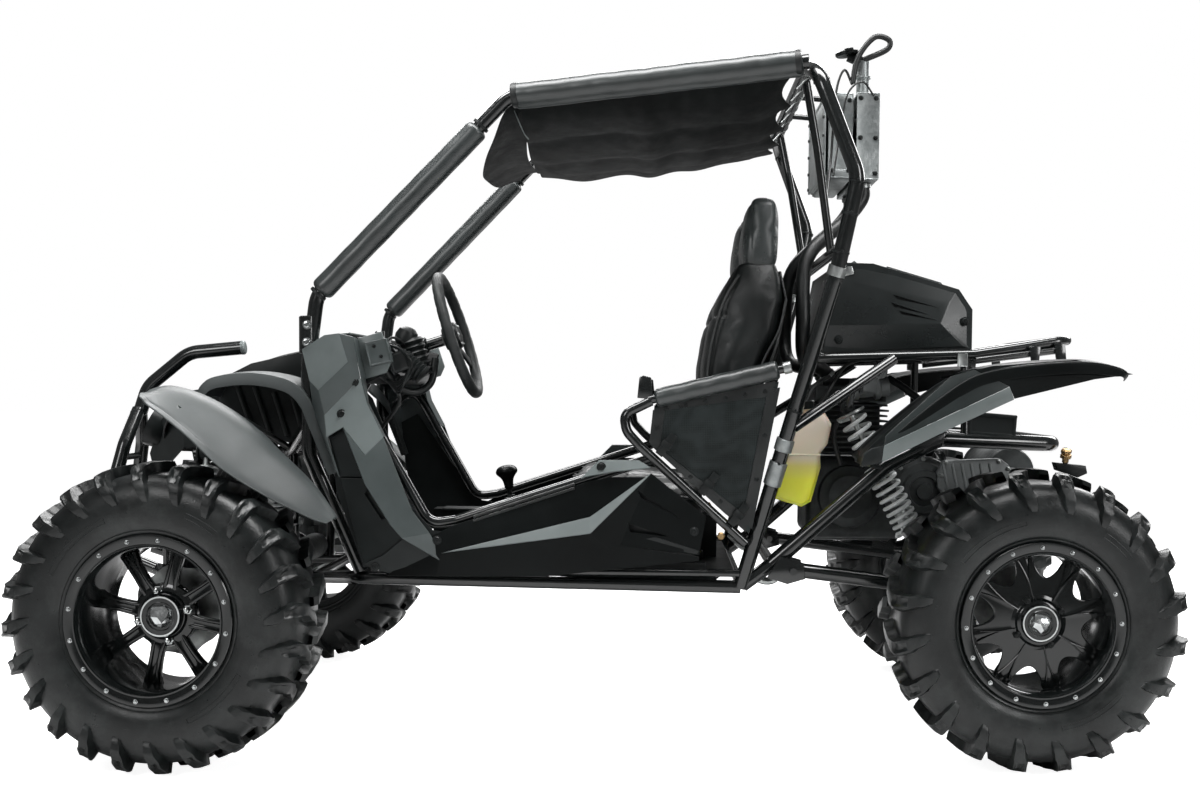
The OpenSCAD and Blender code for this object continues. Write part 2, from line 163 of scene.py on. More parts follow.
def copyOf(piece, name, matrix):
    twin = piece.copy()
    twin.data = piece.data.copy()
    twin.name = name
    twin.data.name = name
    bpy.context.scene.collection.objects.link(twin)
    twin.data.transform(matrix)
    if matrix.determinant() < 0:
        twin.data.flip_normals()
    return twin


def dropped(piece):
    bpy.data.objects.remove(piece)


# copies of a model at many places, joined into one piece, and the model thrown away
def repeated(name, model, matrices):
    piece = joined(name, [copyOf(model, f"{name}_{i}", m) for i, m in enumerate(matrices)])
    dropped(model)
    return piece


# the same pieces on both sides of the buggy, as one piece
def bothSides(name, *pieces):
    near = joined(name + "_near", pieces)
    return joined(name, [near, copyOf(near, name + "_twin", acrossY)])


# a surface pulled out of a grid: place(u, v) says where each point goes
def skin(name, across, along, place, closed=False):
    nothingPicked()
    bpy.ops.mesh.primitive_grid_add(x_subdivisions=across, y_subdivisions=along, size=1)
    piece = named(name)
    for point in piece.data.vertices:
        point.co = place(min(1, max(0, point.co.x + 0.5)), min(1, max(0, point.co.y + 0.5)))
    if closed:
        weld(piece, 0.00001)
    return piece


def alongPath(points, share):
    step = share * (len(points) - 1)
    i = min(int(step), len(points) - 2)
    return points[i].lerp(points[i + 1], step - i)


# closed rings of points joined one after the other, with both ends filled
def loft(name, rings):
    count = len(rings[0])

    def place(u, v):
        ring = rings[round(v * (len(rings) - 1))]
        return ring[round(u * count) % count]

    piece = skin(name, count, len(rings) - 1, place, closed=True)
    closeEnds(piece)
    return outwards(piece)


# two directions square to a line and to each other
def squareTo(along, guide):
    side = along.cross(Vector(guide)).normalized()
    return side, along.cross(side)


# a padded roll from a to b: radiusAt(angle, share) is in millimetres; ends closed and softened
def paddedRoll(name, a, b, guide, around, steps, radiusAt, turnOver=1):
    side, across = squareTo((b - a).normalized(), guide)

    def place(u, v):
        angle = u * tau
        direction = side * cos(angle) + across * sin(angle) * turnOver
        return a.lerp(b, v) + direction * radiusAt(angle, v) / 1000

    piece = skin(name, around, steps, place, closed=True)
    closeEnds(piece)
    return softened(outwards(piece), 1)


# a shape turned round an axis: the profile holds (radius, distance along the axis) in millimetres
def turned(name, profile, centre, axis=(0, 1, 0), sides=48, ring=False):
    turn = Vector((0, 0, 1)).rotation_difference(Vector(axis)).to_matrix()
    points = list(profile) + ([profile[0]] if ring else [])

    def place(u, v):
        radius, height = points[round(v * (len(points) - 1))]
        angle = u * tau
        return Vector(centre) + turn @ Vector((radius * cos(angle), radius * sin(angle), height)) / 1000

    piece = skin(name, sides, len(points) - 1, place, closed=True)
    return outwards(piece)


# points of a bent tube: straight runs with round bends of one radius
def bentPath(points, bend):
    path, steps = [points[0]], 7
    for before, corner, after in zip(points, points[1:], points[2:]):
        a, b = (before - corner), (after - corner)
        half = a.angle(b) / 2
        reach = min(bend / 1000 / max(tan(half), 0.01), a.length * 0.49, b.length * 0.49)
        start, end = corner + a.normalized() * reach, corner + b.normalized() * reach
        for i in range(steps + 1):
            t = i / steps
            path.append(start * (1 - t) ** 2 + corner * 2 * t * (1 - t) + end * t * t)
    return path + [points[-1]]


def pipe(name, points, radius, bend=0, sides=16, closed=False, taper=None):
    path = bentPath(points, bend) if bend and len(points) > 2 else list(points)
    curve = bpy.data.curves.new(name, "CURVE")
    curve.dimensions = "3D"
    run = curve.splines.new("POLY")
    run.points.add(len(path) - 1)
    for i, (spot, p) in enumerate(zip(run.points, path)):
        spot.co = (*p, 1)
        spot.radius = taper(i / (len(path) - 1)) if taper else 1
    run.use_cyclic_u = closed
    curve.bevel_depth = radius / 1000
    curve.bevel_resolution = sides // 4
    curve.use_fill_caps = not closed
    piece = bpy.data.objects.new(name, curve)
    bpy.context.scene.collection.objects.link(piece)
    pickOnly(piece)
    bpy.ops.object.convert(target="MESH")
    piece = named(name)
    weld(piece, 0.000005)
    return smooth(piece, 40)


# a straight tube across the buggy, from one side to the other
def crossBar(name, back, out, up, radius):
    return pipe(name, [at(back, -out, up), at(back, out, up)], radius)


# a smooth run through (back, out, up) places
def route(places, steps=6):
    return smoothPath([at(*p) for p in places], steps)


# a wire, cable or small hose along such a run
def lineOf(name, places, radius, sides=8):
    return pipe(name, route(places), radius, sides=sides)


def smoothPath(points, steps=6):
    ends = [points[0] * 2 - points[1], *points, points[-1] * 2 - points[-2]]
    path = []
    for p0, p1, p2, p3 in zip(ends, ends[1:], ends[2:], ends[3:]):
        for i in range(steps):
            t = i / steps
            path.append(0.5 * ((2 * p1) + (p2 - p0) * t + (2 * p0 - 5 * p1 + 4 * p2 - p3) * t * t
                               + (3 * p1 - p0 - 3 * p2 + p3) * t ** 3))
    return path + [points[-1]]


# a flat outline in X and Z, as (back, up) points, given thickness across the buggy from one side to the other
def plate(name, outline, outer, inner, edge=1.5, segments=2):
    nothingPicked()
    bpy.ops.mesh.primitive_circle_add(vertices=len(outline), fill_type="NGON")
    piece = named(name)
    for point, (back, up) in zip(piece.data.vertices, outline):
        point.co = at(back, outer, up)

    def pull():
        bpy.ops.mesh.extrude_region_move(TRANSFORM_OT_translate={"value": (0, (inner - outer) / 1000, 0)})

    inEditMode(piece, pull)
    outwards(piece)
    return rounded(piece, edge, segments) if edge else piece


# a box with rounded edges and a shallow sunk face, turned about Y or any axis
def casing(name, centre, size, edge=3, sink=0, turn=(0, 0, 0), segments=2):
    nothingPicked()
    bpy.ops.mesh.primitive_cube_add(size=1, location=centre, rotation=[radians(a) for a in turn],
                                    scale=[s / 1000 for s in size])
    piece = settled(named(name))
    if sink:
        def sinkFaces():
            bpy.ops.mesh.select_mode(type="FACE")
            bpy.ops.mesh.inset(thickness=min(size) * 0.00012, use_individual=True)
            bpy.ops.mesh.inset(thickness=min(size) * 0.00005, depth=-sink / 1000, use_individual=True)
        inEditMode(piece, sinkFaces)
    return rounded(piece, edge, segments, 25) if edge else piece


# round-headed bolt with a washer, standing along an axis
def boltModel(name, r, height, hexed):
    profile = [(0, height), (r * 0.35, height), (r * 0.42, height * 0.7), (r * 0.5, height * 0.7),
               (r * 0.58, height),
               (r * 0.82, height * 0.92), (r, height * 0.45), (r, 0.0), (r * 1.28, 0.0), (r * 1.32, -height * 0.25),
               (0, -height * 0.25)]
    return turned(name, profile, (0, 0, 0), (0, 0, 1), 6 if hexed else 12)


def placed(centre, axis):
    return Matrix.Translation(centre) @ Vector((0, 0, 1)).rotation_difference(Vector(axis)).to_matrix().to_4x4()


# (back, out, up) places on both sides, each with its axis pointing out
def sideSpots(places):
    return [(at(back, s * out, up), (0, s, 0)) for s in (1, -1) for back, out, up in places]


def boltsAt(name, spots, radius=7, height=5, hexed=False):
    piece = repeated(name, boltModel(name + "_model", radius, height, hexed),
                     [placed(p, axis) for p, axis in spots])
    return smooth(piece, 40)

# --- finishes
def nodeAfter(tree, kind, **values):
    node = tree.nodes.new(kind)
    for key, value in values.items():
        if hasattr(node, key):
            setattr(node, key, value)
        else:
            node.inputs[key.replace("_", " ")].default_value = value
    return node


def noiseAt(tree, source, scale, detail=4, rough=0.55, stretch=None):
    if stretch:
        mapping = nodeAfter(tree, "ShaderNodeMapping")
        mapping.inputs["Scale"].default_value = stretch
        tree.links.new(source, mapping.inputs["Vector"])
        source = mapping.outputs["Vector"]
    cloud = nodeAfter(tree, "ShaderNodeTexNoise", Scale=scale, Detail=detail, Roughness=rough)
    tree.links.new(source, cloud.inputs["Vector"])
    return cloud.outputs["Fac"]


def mapped(tree, value, low, high, fromLow=0.3, fromHigh=0.7):
    span = nodeAfter(tree, "ShaderNodeMapRange")
    for key, v in (("From Min", fromLow), ("From Max", fromHigh), ("To Min", low), ("To Max", high)):
        span.inputs[key].default_value = v
    tree.links.new(value, span.inputs["Value"])
    return span.outputs["Result"]


# fine relief, as a height: leather, weave, perforated cloth, brushed metal or plain moulded grain
def relief(tree, source, kind, scale):
    if kind == "leather":
        cells = nodeAfter(tree, "ShaderNodeTexVoronoi", feature="DISTANCE_TO_EDGE", Scale=scale)
        tree.links.new(source, cells.inputs["Vector"])
        return mapped(tree, cells.outputs["Distance"], 0, 1, 0, 0.14)
    if kind == "weave":
        heights = []
        for direction in ("X", "Y", "Z"):
            wave = nodeAfter(tree, "ShaderNodeTexWave", bands_direction=direction, Scale=scale, Distortion=0.6)
            tree.links.new(source, wave.inputs["Vector"])
            heights.append(wave.outputs["Fac"])
        total = heights[0]
        for height in heights[1:]:
            add = nodeAfter(tree, "ShaderNodeMath", operation="MULTIPLY_ADD")
            tree.links.new(height, add.inputs[0])
            add.inputs[1].default_value = 0.8
            tree.links.new(total, add.inputs[2])
            total = add.outputs[0]
        return mapped(tree, total, 0, 1, 0.3, 2.2)
    if kind == "dots":
        cells = nodeAfter(tree, "ShaderNodeTexVoronoi", Scale=scale, Randomness=0.0)
        tree.links.new(source, cells.inputs["Vector"])
        return mapped(tree, cells.outputs["Distance"], 0, 1, 0.25, 0.42)
    if kind == "brushed":
        return noiseAt(tree, source, scale, 3, 0.5, (1, 1, 40))
    return noiseAt(tree, source, scale, 3, 0.6)


def cool(value):
    return 0.8 * value, value, value


# one finish: two close colours that drift into each other, a roughness that varies, and a relief
def finish(name, dark, light, rough, cloud=9, grain=("plain", 500), bump=0.1, metal=0.0, coat=0.0,
           wear=None, level=0.5, depth=0.0006):
    material = bpy.data.materials.new(name)
    material.use_nodes = True
    tree = material.node_tree
    shader = tree.nodes["Principled BSDF"]
    source = nodeAfter(tree, "ShaderNodeTexCoord").outputs["Object"]
    drift = noiseAt(tree, source, cloud, 5, 0.6)
    colours = nodeAfter(tree, "ShaderNodeValToRGB")
    colours.color_ramp.elements[0].position, colours.color_ramp.elements[1].position = 0.35, 0.68
    colours.color_ramp.elements[0].color = (*dark, 1)
    colours.color_ramp.elements[1].color = (*light, 1)
    tree.links.new(drift, colours.inputs["Fac"])
    colour = colours.outputs["Color"]
    height = relief(tree, source, *grain)
    if grain[0] in ("weave", "dots"):
        # painted shade: the spaces between threads and the holes in nets and perforated sheets are darker than the
        # threads
        threadGapShade = nodeAfter(tree, "ShaderNodeMix", data_type="RGBA", blend_type="MULTIPLY")
        threadGapShade.inputs["Factor"].default_value = 1.0
        shade = nodeAfter(tree, "ShaderNodeValToRGB")
        shade.color_ramp.elements[0].color = (0.35, 0.35, 0.35, 1)
        tree.links.new(height, shade.inputs["Fac"])
        tree.links.new(colour, threadGapShade.inputs["A"])
        tree.links.new(shade.outputs["Color"], threadGapShade.inputs["B"])
        colour = threadGapShade.outputs["Result"]
    if wear:
        # dust or scuffs in broad patches, broken up by a fine noise
        patches = noiseAt(tree, source, wear["scale"], 8, 0.72)
        amount = mapped(tree, patches, 0, wear["amount"], 0.5, 0.75)
        dusty = nodeAfter(tree, "ShaderNodeMix", data_type="RGBA")
        dusty.inputs["B"].default_value = (*wear["colour"], 1)
        tree.links.new(amount, dusty.inputs["Factor"])
        tree.links.new(colour, dusty.inputs["A"])
        colour = dusty.outputs["Result"]
    tree.links.new(colour, shader.inputs["Base Color"])
    tree.links.new(mapped(tree, noiseAt(tree, source, cloud * 3.7, 6, 0.65), rough[0], rough[1]),
                   shader.inputs["Roughness"])
    lift = nodeAfter(tree, "ShaderNodeBump", Strength=bump, Distance=depth)
    tree.links.new(height, lift.inputs["Height"])
    tree.links.new(lift.outputs["Normal"], shader.inputs["Normal"])
    shader.inputs["Metallic"].default_value = metal
    shader.inputs["Coat Weight"].default_value = coat
    shader.inputs["Coat Roughness"].default_value = 0.12
    shader.inputs["Specular IOR Level"].default_value = level
    return material


glossTube = finish("gloss_tube", cool(0.005), cool(0.0095), (0.12, 0.24), cloud=14,
                   grain=("plain", 260), bump=0.05, coat=0.5)
satinSteel = finish("satin_steel", cool(0.0055), cool(0.013), (0.3, 0.5), cloud=20,
                    grain=("plain", 420), bump=0.15, level=0.3)
padCloth = finish("pad_cloth", cool(0.0095), cool(0.019), (0.36, 0.48), cloud=12,
                  grain=("weave", 420), bump=0.16, level=0.45)
roofCloth = finish("roof_cloth", cool(0.004), cool(0.0095), (0.5, 0.68), cloud=7,
                   grain=("weave", 500), bump=0.3, level=0.12)
sleeveCloth = finish("sleeve_cloth", cool(0.015), cool(0.029), (0.32, 0.42), cloud=7,
                     grain=("plain", 700), bump=0.04, level=0.8)
blackPlastic = finish("black_plastic", cool(0.0045), cool(0.01), (0.28, 0.4), cloud=6,
                      grain=("plain", 900), bump=0.1,
                      wear={"scale": 5, "amount": 0.05, "colour": (0.04, 0.045, 0.045)}, level=0.18)
greyPlastic = finish("grey_plastic", (0.102, 0.120, 0.119), (0.158, 0.183, 0.181), (0.3, 0.42), cloud=4,
                     grain=("plain", 1100), bump=0.12,
                     wear={"scale": 9, "amount": 0.1, "colour": (0.13, 0.14, 0.14)})
fenderGrey = finish("fender_grey_plastic", (0.022, 0.027, 0.027), (0.042, 0.050, 0.050), (0.42, 0.54), cloud=4,
                    grain=("plain", 1100), bump=0.12, wear={"scale": 9, "amount": 0.1, "colour": (0.1, 0.11, 0.11)})
# painted shade: a darker copy of the grey plastic for the cowl's shaded facets, back edge and tail
shadeGrey = finish("shade_grey_plastic", (0.046, 0.056, 0.056), (0.076, 0.090, 0.090), (0.3, 0.42), cloud=4,
                   grain=("plain", 1100), bump=0.12, level=0.4)
sillPlastic = finish("sill_plastic", cool(0.003), cool(0.007), (0.3, 0.42), cloud=3,
                     grain=("plain", 900), bump=0.08, level=0.09)
coverPlastic = finish("cover_plastic", cool(0.01), cool(0.025), (0.24, 0.36), cloud=2.5,
                      grain=("plain", 900), bump=0.08, level=0.5)
fadedPlastic = finish("faded_plastic", cool(0.0075), cool(0.032), (0.28, 0.42), cloud=3.5,
                      grain=("plain", 1000), bump=0.1, level=0.35)
darkGrey = finish("dark_grey_plastic", cool(0.01), cool(0.018), (0.4, 0.52), cloud=7,
                  grain=("plain", 1000), bump=0.12, level=0.25)
tyreRubber = finish("tyre_rubber", cool(0.004), cool(0.012), (0.26, 0.44), cloud=11,
                    grain=("plain", 260), bump=0.3,
                    wear={"scale": 7, "amount": 0.5, "colour": (0.055, 0.061, 0.059)},
                    depth=0.0014, level=0.42)
gripRubber = finish("grip_rubber", cool(0.009), cool(0.018), (0.45, 0.6), cloud=25,
                    grain=("leather", 520), bump=0.3)
hoseRubber = finish("hose_rubber", cool(0.006), cool(0.0135), (0.35, 0.5), cloud=30,
                    grain=("weave", 300), bump=0.08)
# painted light: a lighter copy of the seat vinyl, standing in for the light the headrests catch
paintedLightHeadVinyl = finish("head_vinyl_painted_light", (0.034, 0.040, 0.040), (0.060, 0.068, 0.068), (0.24, 0.34), cloud=6,
                   grain=("leather", 430), bump=0.2, level=0.6)
seatVinyl = finish("seat_vinyl", cool(0.006), cool(0.013), (0.26, 0.38), cloud=8,
                   grain=("leather", 430), bump=0.25,
                   wear={"scale": 6, "amount": 0.12, "colour": (0.05, 0.055, 0.055)}, level=0.45)
netCloth = finish("net_cloth", cool(0.016), cool(0.038), (0.5, 0.7), cloud=9,
                  grain=("dots", 260), bump=0.6, level=0.15)
glossRim = finish("gloss_rim", cool(0.005), cool(0.0095), (0.08, 0.18), cloud=12,
                  grain=("plain", 200), bump=0.04, coat=0.6, level=0.3,
                  wear={"scale": 16, "amount": 0.06, "colour": (0.05, 0.055, 0.055)})
chrome = finish("chrome", (0.50, 0.52, 0.52), (0.66, 0.68, 0.68), (0.1, 0.25), cloud=60,
                grain=("plain", 300), bump=0.08, metal=1.0)
zincSteel = finish("zinc_steel", (0.26, 0.27, 0.27), (0.42, 0.44, 0.43), (0.3, 0.48), cloud=45,
                   grain=("brushed", 60), bump=0.12, metal=1.0)
aluminium = finish("bare_aluminium", (0.24, 0.26, 0.26), (0.36, 0.38, 0.38), (0.35, 0.55), cloud=30,
                   grain=("brushed", 40), bump=0.15, metal=0.9)
castMetal = finish("cast_metal", (0.022, 0.025, 0.025), (0.05, 0.055, 0.055), (0.45, 0.65), cloud=18,
                   grain=("plain", 300), bump=0.4, metal=0.5, depth=0.001)
greyCast = finish("grey_cast", (0.14, 0.15, 0.15), (0.22, 0.235, 0.235), (0.42, 0.6), cloud=14,
                  grain=("plain", 420), bump=0.35, metal=0.4, depth=0.001)
springPaint = finish("spring_paint", (0.44, 0.46, 0.46), (0.56, 0.58, 0.58), (0.3, 0.42), cloud=30,
                     grain=("plain", 240), bump=0.06)
brass = finish("brass", (0.42, 0.27, 0.12), (0.60, 0.42, 0.22), (0.25, 0.42), cloud=70,
               grain=("plain", 300), bump=0.1, metal=1.0)


# a milky bottle: clear plastic above, coloured liquid below a wavering line
def bottleFinish(name, lineHeight):
    material = finish(name, (0.60, 0.53, 0.42), (0.68, 0.61, 0.49), (0.3, 0.42), cloud=9, grain=("plain", 140),
                      bump=0.08)
    tree = material.node_tree
    shader = tree.nodes["Principled BSDF"]
    source = next(n for n in tree.nodes if n.type == "TEX_COORD").outputs["Object"]
    split = nodeAfter(tree, "ShaderNodeSeparateXYZ")
    tree.links.new(source, split.inputs[0])
    ramp = nodeAfter(tree, "ShaderNodeValToRGB")
    stops = ((0.0, (0.62, 0.66, 0.02)), (0.38, (0.66, 0.66, 0.05)), (0.52, (0.62, 0.56, 0.16)),
             (0.6, (0.62, 0.54, 0.40)),
             (1.0, (0.66, 0.58, 0.48)))
    ramp.color_ramp.elements[0].color = (*stops[0][1], 1)
    ramp.color_ramp.elements[1].color = (*stops[-1][1], 1)
    for position, colour in stops[1:-1]:
        ramp.color_ramp.elements.new(position).color = (*colour, 1)
    share = mapped(tree, split.outputs["Z"], 0, 1, lineHeight - 0.115, lineHeight + 0.1)
    tree.links.new(share, ramp.inputs["Fac"])
    tree.links.new(ramp.outputs["Color"], shader.inputs["Base Color"])
    shader.inputs["Subsurface Weight"].default_value = 0.25
    shader.inputs["Subsurface Scale"].default_value = 0.01
    return material


bottlePlastic = bottleFinish("bottle_plastic", 0.63)
print("finishes made")


# gives a finished piece its finish, the body it moves with and the CAD parts it stands for
def fitted(piece, material, slot, *nodes, body="chassis", angle=None):
    if angle is not None:
        smooth(piece, angle)
    piece.data.materials.clear()
    piece.data.materials.append(material)
    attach(piece, body)
    if nodes:
        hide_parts(*nodes)
    return piece


# a better finish for a shape of the frame that is kept
def reclothed(node, material):
    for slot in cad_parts[node].material_slots:
        slot.material = material


# --- camera, light and floor
cameraView = {"place": (-0.114, 3.561, 0.796), "yaw": 1.61, "pitch": -0.44, "roll": 0.96, "lens": 42.71,
              "shift": -0.0833}


def setCamera(look):
    yaw, pitch, roll = (radians(look[k]) for k in ("yaw", "pitch", "roll"))
    level = Vector((-sin(yaw), -cos(yaw), 0))
    right = Vector((-cos(yaw), sin(yaw), 0))
    ahead = level * cos(pitch) + Vector((0, 0, sin(pitch)))
    above = Vector((0, 0, cos(pitch))) - level * sin(pitch)
    side = right * cos(roll) + above * sin(roll)
    top = above * cos(roll) - right * sin(roll)
    data = bpy.data.cameras.new("camera")
    camera = bpy.data.objects.new("camera", data)
    bpy.context.scene.collection.objects.link(camera)
    camera.matrix_world = Matrix((side, top, -ahead)).transposed().to_4x4()
    camera.location = look["place"]
    data.lens, data.sensor_width, data.shift_x = look["lens"], 36, look["shift"]
    data.clip_start, data.clip_end = 0.05, 60
    bpy.context.scene.camera = camera


setCamera(cameraView)

lamps = {  # place, what it points at, width, height, watts
    "over": ((0.1, 0.75, 3.3), (0.0, 0.15, 0.5), 3.4, 1.0, 165),
    "near": ((2.4, 3.7, 2.6), (0.2, 0.2, 0.5), 1.2, 1.4, 42),
    "back": ((-2.8, -2.6, 2.6), (-0.2, 0.0, 0.7), 1.6, 1.6, 65),
    "rim": ((0.1, -2.3, 2.9), (0.0, 0.0, 0.7), 3.6, 0.8, 120),
    "tail": ((-2.9, 2.9, 1.9), (-0.6, 0.2, 0.6), 0.8, 1.6, 40),
}
for name, (place, target, width, height, watts) in lamps.items():
    data = bpy.data.lights.new(name, "AREA")
    data.shape, data.size, data.size_y, data.energy = "RECTANGLE", width, height, watts
    lamp = bpy.data.objects.new(name, data)
    lamp.location = place
    lamp.rotation_mode = "QUATERNION"
    lamp.rotation_quaternion = (Vector(target) - Vector(place)).to_track_quat("-Z", "Y")
    bpy.context.scene.collection.objects.link(lamp)


# white for the camera, softer for what it lights
def paleWorld(forCamera, forGloss, forLight):
    world = bpy.data.worlds.new("studio")
    world.use_nodes = True
    tree = world.node_tree
    rays = tree.nodes.new("ShaderNodeLightPath")
    strength = nodeAfter(tree, "ShaderNodeMix", data_type="FLOAT")
    strength.inputs["A"].default_value, strength.inputs["B"].default_value = forLight, forGloss
    tree.links.new(rays.outputs["Is Glossy Ray"], strength.inputs["Factor"])
    seen = nodeAfter(tree, "ShaderNodeMath", operation="MAXIMUM")
    tree.links.new(rays.outputs["Is Camera Ray"], seen.inputs[0])
    tree.links.new(rays.outputs["Is Transmission Ray"], seen.inputs[1])
    final = nodeAfter(tree, "ShaderNodeMix", data_type="FLOAT")
    final.inputs["B"].default_value = forCamera
    tree.links.new(strength.outputs["Result"], final.inputs["A"])
    tree.links.new(seen.outputs[0], final.inputs["Factor"])
    tree.links.new(final.outputs["Result"], tree.nodes["Background"].inputs["Strength"])
    tree.nodes["Background"].inputs["Color"].default_value = (1, 1, 1, 1)
    bpy.context.scene.world = world


paleWorld(1.0, 0.16, 0.10)


def paleFloor():
    nothingPicked()
    bpy.ops.mesh.primitive_plane_add(size=60)
    floor = named("floor")
    material = bpy.data.materials.new("floor_white")
    material.use_nodes = True
    tree = material.node_tree
    shader = tree.nodes["Principled BSDF"]
    shader.inputs["Base Color"].default_value = (0.86, 0.86, 0.86, 1)
    shader.inputs["Roughness"].default_value = 0.9
    shader.inputs["Specular IOR Level"].default_value = 0.0
    shader.inputs["Emission Color"].default_value = (1, 1, 1, 1)
    rays = tree.nodes.new("ShaderNodeLightPath")
    lift = nodeAfter(tree, "ShaderNodeMath", operation="MULTIPLY")
    lift.inputs[1].default_value = 0.92
    tree.links.new(rays.outputs["Is Camera Ray"], lift.inputs[0])
    tree.links.new(lift.outputs[0], shader.inputs["Emission Strength"])
    floor.data.materials.append(material)


paleFloor()
bpy.context.scene.view_settings.view_transform = "Standard"
print("camera, lamps and floor set")

# --- wheels: each is built upright, turning on Y with its outer side towards +Y, then set on its axle
# a point of a wheel: distance from the axle, distance from the middle plane, angle from the top
def onWheel(radius, out, angle):
    return Vector((radius * sin(angle), out, radius * cos(angle))) / 1000


frontTyre = {"radius": 316, "width": 205, "lugs": 24, "lugWidth": 27, "depth": 21}
rearTyre = {"radius": 318, "width": 255, "lugs": 20, "lugWidth": 31, "depth": 22}


# outline of the tyre's casing from the bead to the middle of the tread, as (radius, distance from the middle)
def casingLine(t):
    w, r = t["width"], t["radius"] - t["depth"]
    return [(154, 0.40 * w), (160, 0.43 * w), (166, 0.425 * w), (170, 0.425 * w), (175, 0.455 * w),
            (180, 0.462 * w),
            (182, 0.455 * w), (187, 0.475 * w), (205, 0.495 * w), (228, 0.5 * w), (246, 0.495 * w),
            (263, 0.475 * w),
            (277, 0.43 * w), (r - 6, 0.37 * w), (r - 1.5, 0.27 * w), (r, 0.14 * w), (r, 0.0)]


def runLengths(line):
    total = [0.0]
    for a, b in zip(line, line[1:]):
        total.append(total[-1] + dist(a, b))
    return total


def pointOnLine(line, lengths, s):
    s = max(0, min(s, lengths[-1]))
    i = next(k for k in range(1, len(lengths)) if lengths[k] >= s - 1e-9)
    f = (s - lengths[i - 1]) / (lengths[i] - lengths[i - 1])
    a, b = line[i - 1], line[i]
    return a[0] + (b[0] - a[0]) * f, a[1] + (b[1] - a[1]) * f


# one hooked lug: a thin tail on the sidewall, a thick shoulder with a pocket, and an arm across the tread
def lugModel(name, t, side):
    line = casingLine(t)
    lengths = runLengths(line)
    start, end = lengths[10] - 8, lengths[-1] - 3
    centreLine = ((0.0, -16), (0.14, -8), (0.30, 2), (0.45, 7), (0.60, 4), (0.8, -12), (1.0, -30))
    widths = ((0.0, 0.5), (0.10, 0.82), (0.26, 1.02), (0.45, 1.06), (0.60, 0.92), (0.8, 0.84), (1.0, 0.7))
    heights = ((0.0, 0.0), (0.06, 0.34), (0.2, 0.68), (0.34, 1.0), (0.5, 1.0), (0.8, 1.0), (1.0, 0.96))

    def read(table, x):
        for (x0, y0), (x1, y1) in zip(table, table[1:]):
            if x <= x1:
                f = (x - x0) / (x1 - x0)
                f = f * f * (3 - 2 * f)
                return y0 + (y1 - y0) * f
        return table[-1][1]

    # across the lug: foot, flank, edge, four points on the land, edge, flank, foot
    columns = ((-1.30, -0.08), (-1.06, 0.55), (-0.94, 0.97), (-0.62, 1.0), (-0.22, 1.0), (0.22, 1.0), (0.62, 1.0),
               (0.94, 0.97), (1.06, 0.55), (1.30, -0.08))
    rows = 22

    def place(u, v):
        i, j = round(u * (len(columns) - 1)), round(v * rows)
        x = j / rows
        radius, out = pointOnLine(line, lengths, start + (end - start) * x)
        r0, o0 = pointOnLine(line, lengths, start + (end - start) * x - 4)
        r1, o1 = pointOnLine(line, lengths, start + (end - start) * x + 4)
        along = Vector((r1 - r0, o1 - o0)).normalized()
        normal = Vector((abs(along.y), max(0.0, along.x) if out > 4 else 0)).normalized()
        offset, share = columns[i]
        half = t["lugWidth"] / 2 * read(widths, x)
        rise = t["depth"] * read(heights, x) * share
        # the small pocket at the shoulder
        if 3 < i < 6 and 0.30 < x < 0.50 or i == 3 and 0.40 < x < 0.50:
            rise -= 6.5
        if x > 0.985 and i not in (0, 9):
            rise *= 0.55
        radius, out = radius + normal.x * rise, out + normal.y * rise
        radius = min(radius, t["radius"])
        arc = (read(centreLine, x) + offset * half) / t["radius"]
        return onWheel(radius, side * out, arc)

    piece = skin(name, len(columns) - 1, rows, place)
    if side > 0:
        piece.data.flip_normals()
    return piece


def tyreModel(name, t):
    line = casingLine(t)
    inner = [(150, 0.33 * t["width"]), (168, 0.36 * t["width"]), (t["radius"] - 52, 0.40 * t["width"]),
             (t["radius"] - 34, 0.25 * t["width"]), (t["radius"] - 32, 0)]
    whole = line + [(r, -o) for r, o in line[-2::-1]]
    whole += [(r, -o) for r, o in inner] + [(r, o) for r, o in inner[-2::-1]]
    carcass = turned(name, whole, (0, 0, 0), (0, 1, 0), 120, ring=True)
    pieces = [carcass]
    step = tau / t["lugs"]
    for side in (1, -1):
        model = lugModel(f"{name}_lug", t, side)
        turns = [Matrix.Rotation(step * (k + (0.5 if side < 0 else 0)), 4, "Y") for k in range(t["lugs"])]
        pieces.append(repeated(f"{name}_lugs", model, turns))
    # low blank bands moulded on the sidewall, and a rib that guards the rim
    for first, last, radius in ((200, 238, 214), (20, 62, 216), (318, 336, 226)):
        outline = [(radians(first + (last - first) * k / 12), radius + 5) for k in range(13)]
        outline += [(a, radius - 5) for a, r in reversed(outline)]
        face = 0.4975 * t["width"]
        path = [onWheel(r, face, a) for a, r in outline]
        pieces.append(pipe(f"{name}_band", path, 1.1, sides=8, closed=True))
    return smooth(joined(name, pieces), 38)


frontRim = {"dish": 82, "width": 205, "spokes": 8}
rearRim = {"dish": 50, "width": 255, "spokes": 8}


def spokeModel(name, rim, face):
    back = face - rim["dish"]
    # each ring of the spoke: distance from the hub, half width, front height, back height
    runs = ((44, 17, 4, -12), (58, 15, 7, -10), (74, 13.5, 8, -10), (96, 13, 7, -11), (118, 14, 5, -13),
            (134, 16, 2, -17),
            (147, 19, -4, -24))
    rings = []
    for reach, half, front, rear in runs:
        # a rib at each edge and a groove between them
        section = ((-1.0, rear), (-1.0, front - 2), (-0.86, front), (-0.5, front), (-0.36, front - 4),
                   (0.36, front - 4),
                   (0.5, front), (0.86, front), (1.0, front - 2), (1.0, rear))
        rings.append([Vector((half * x, back + h, reach)) / 1000 for x, h in section])
    return loft(name, rings)


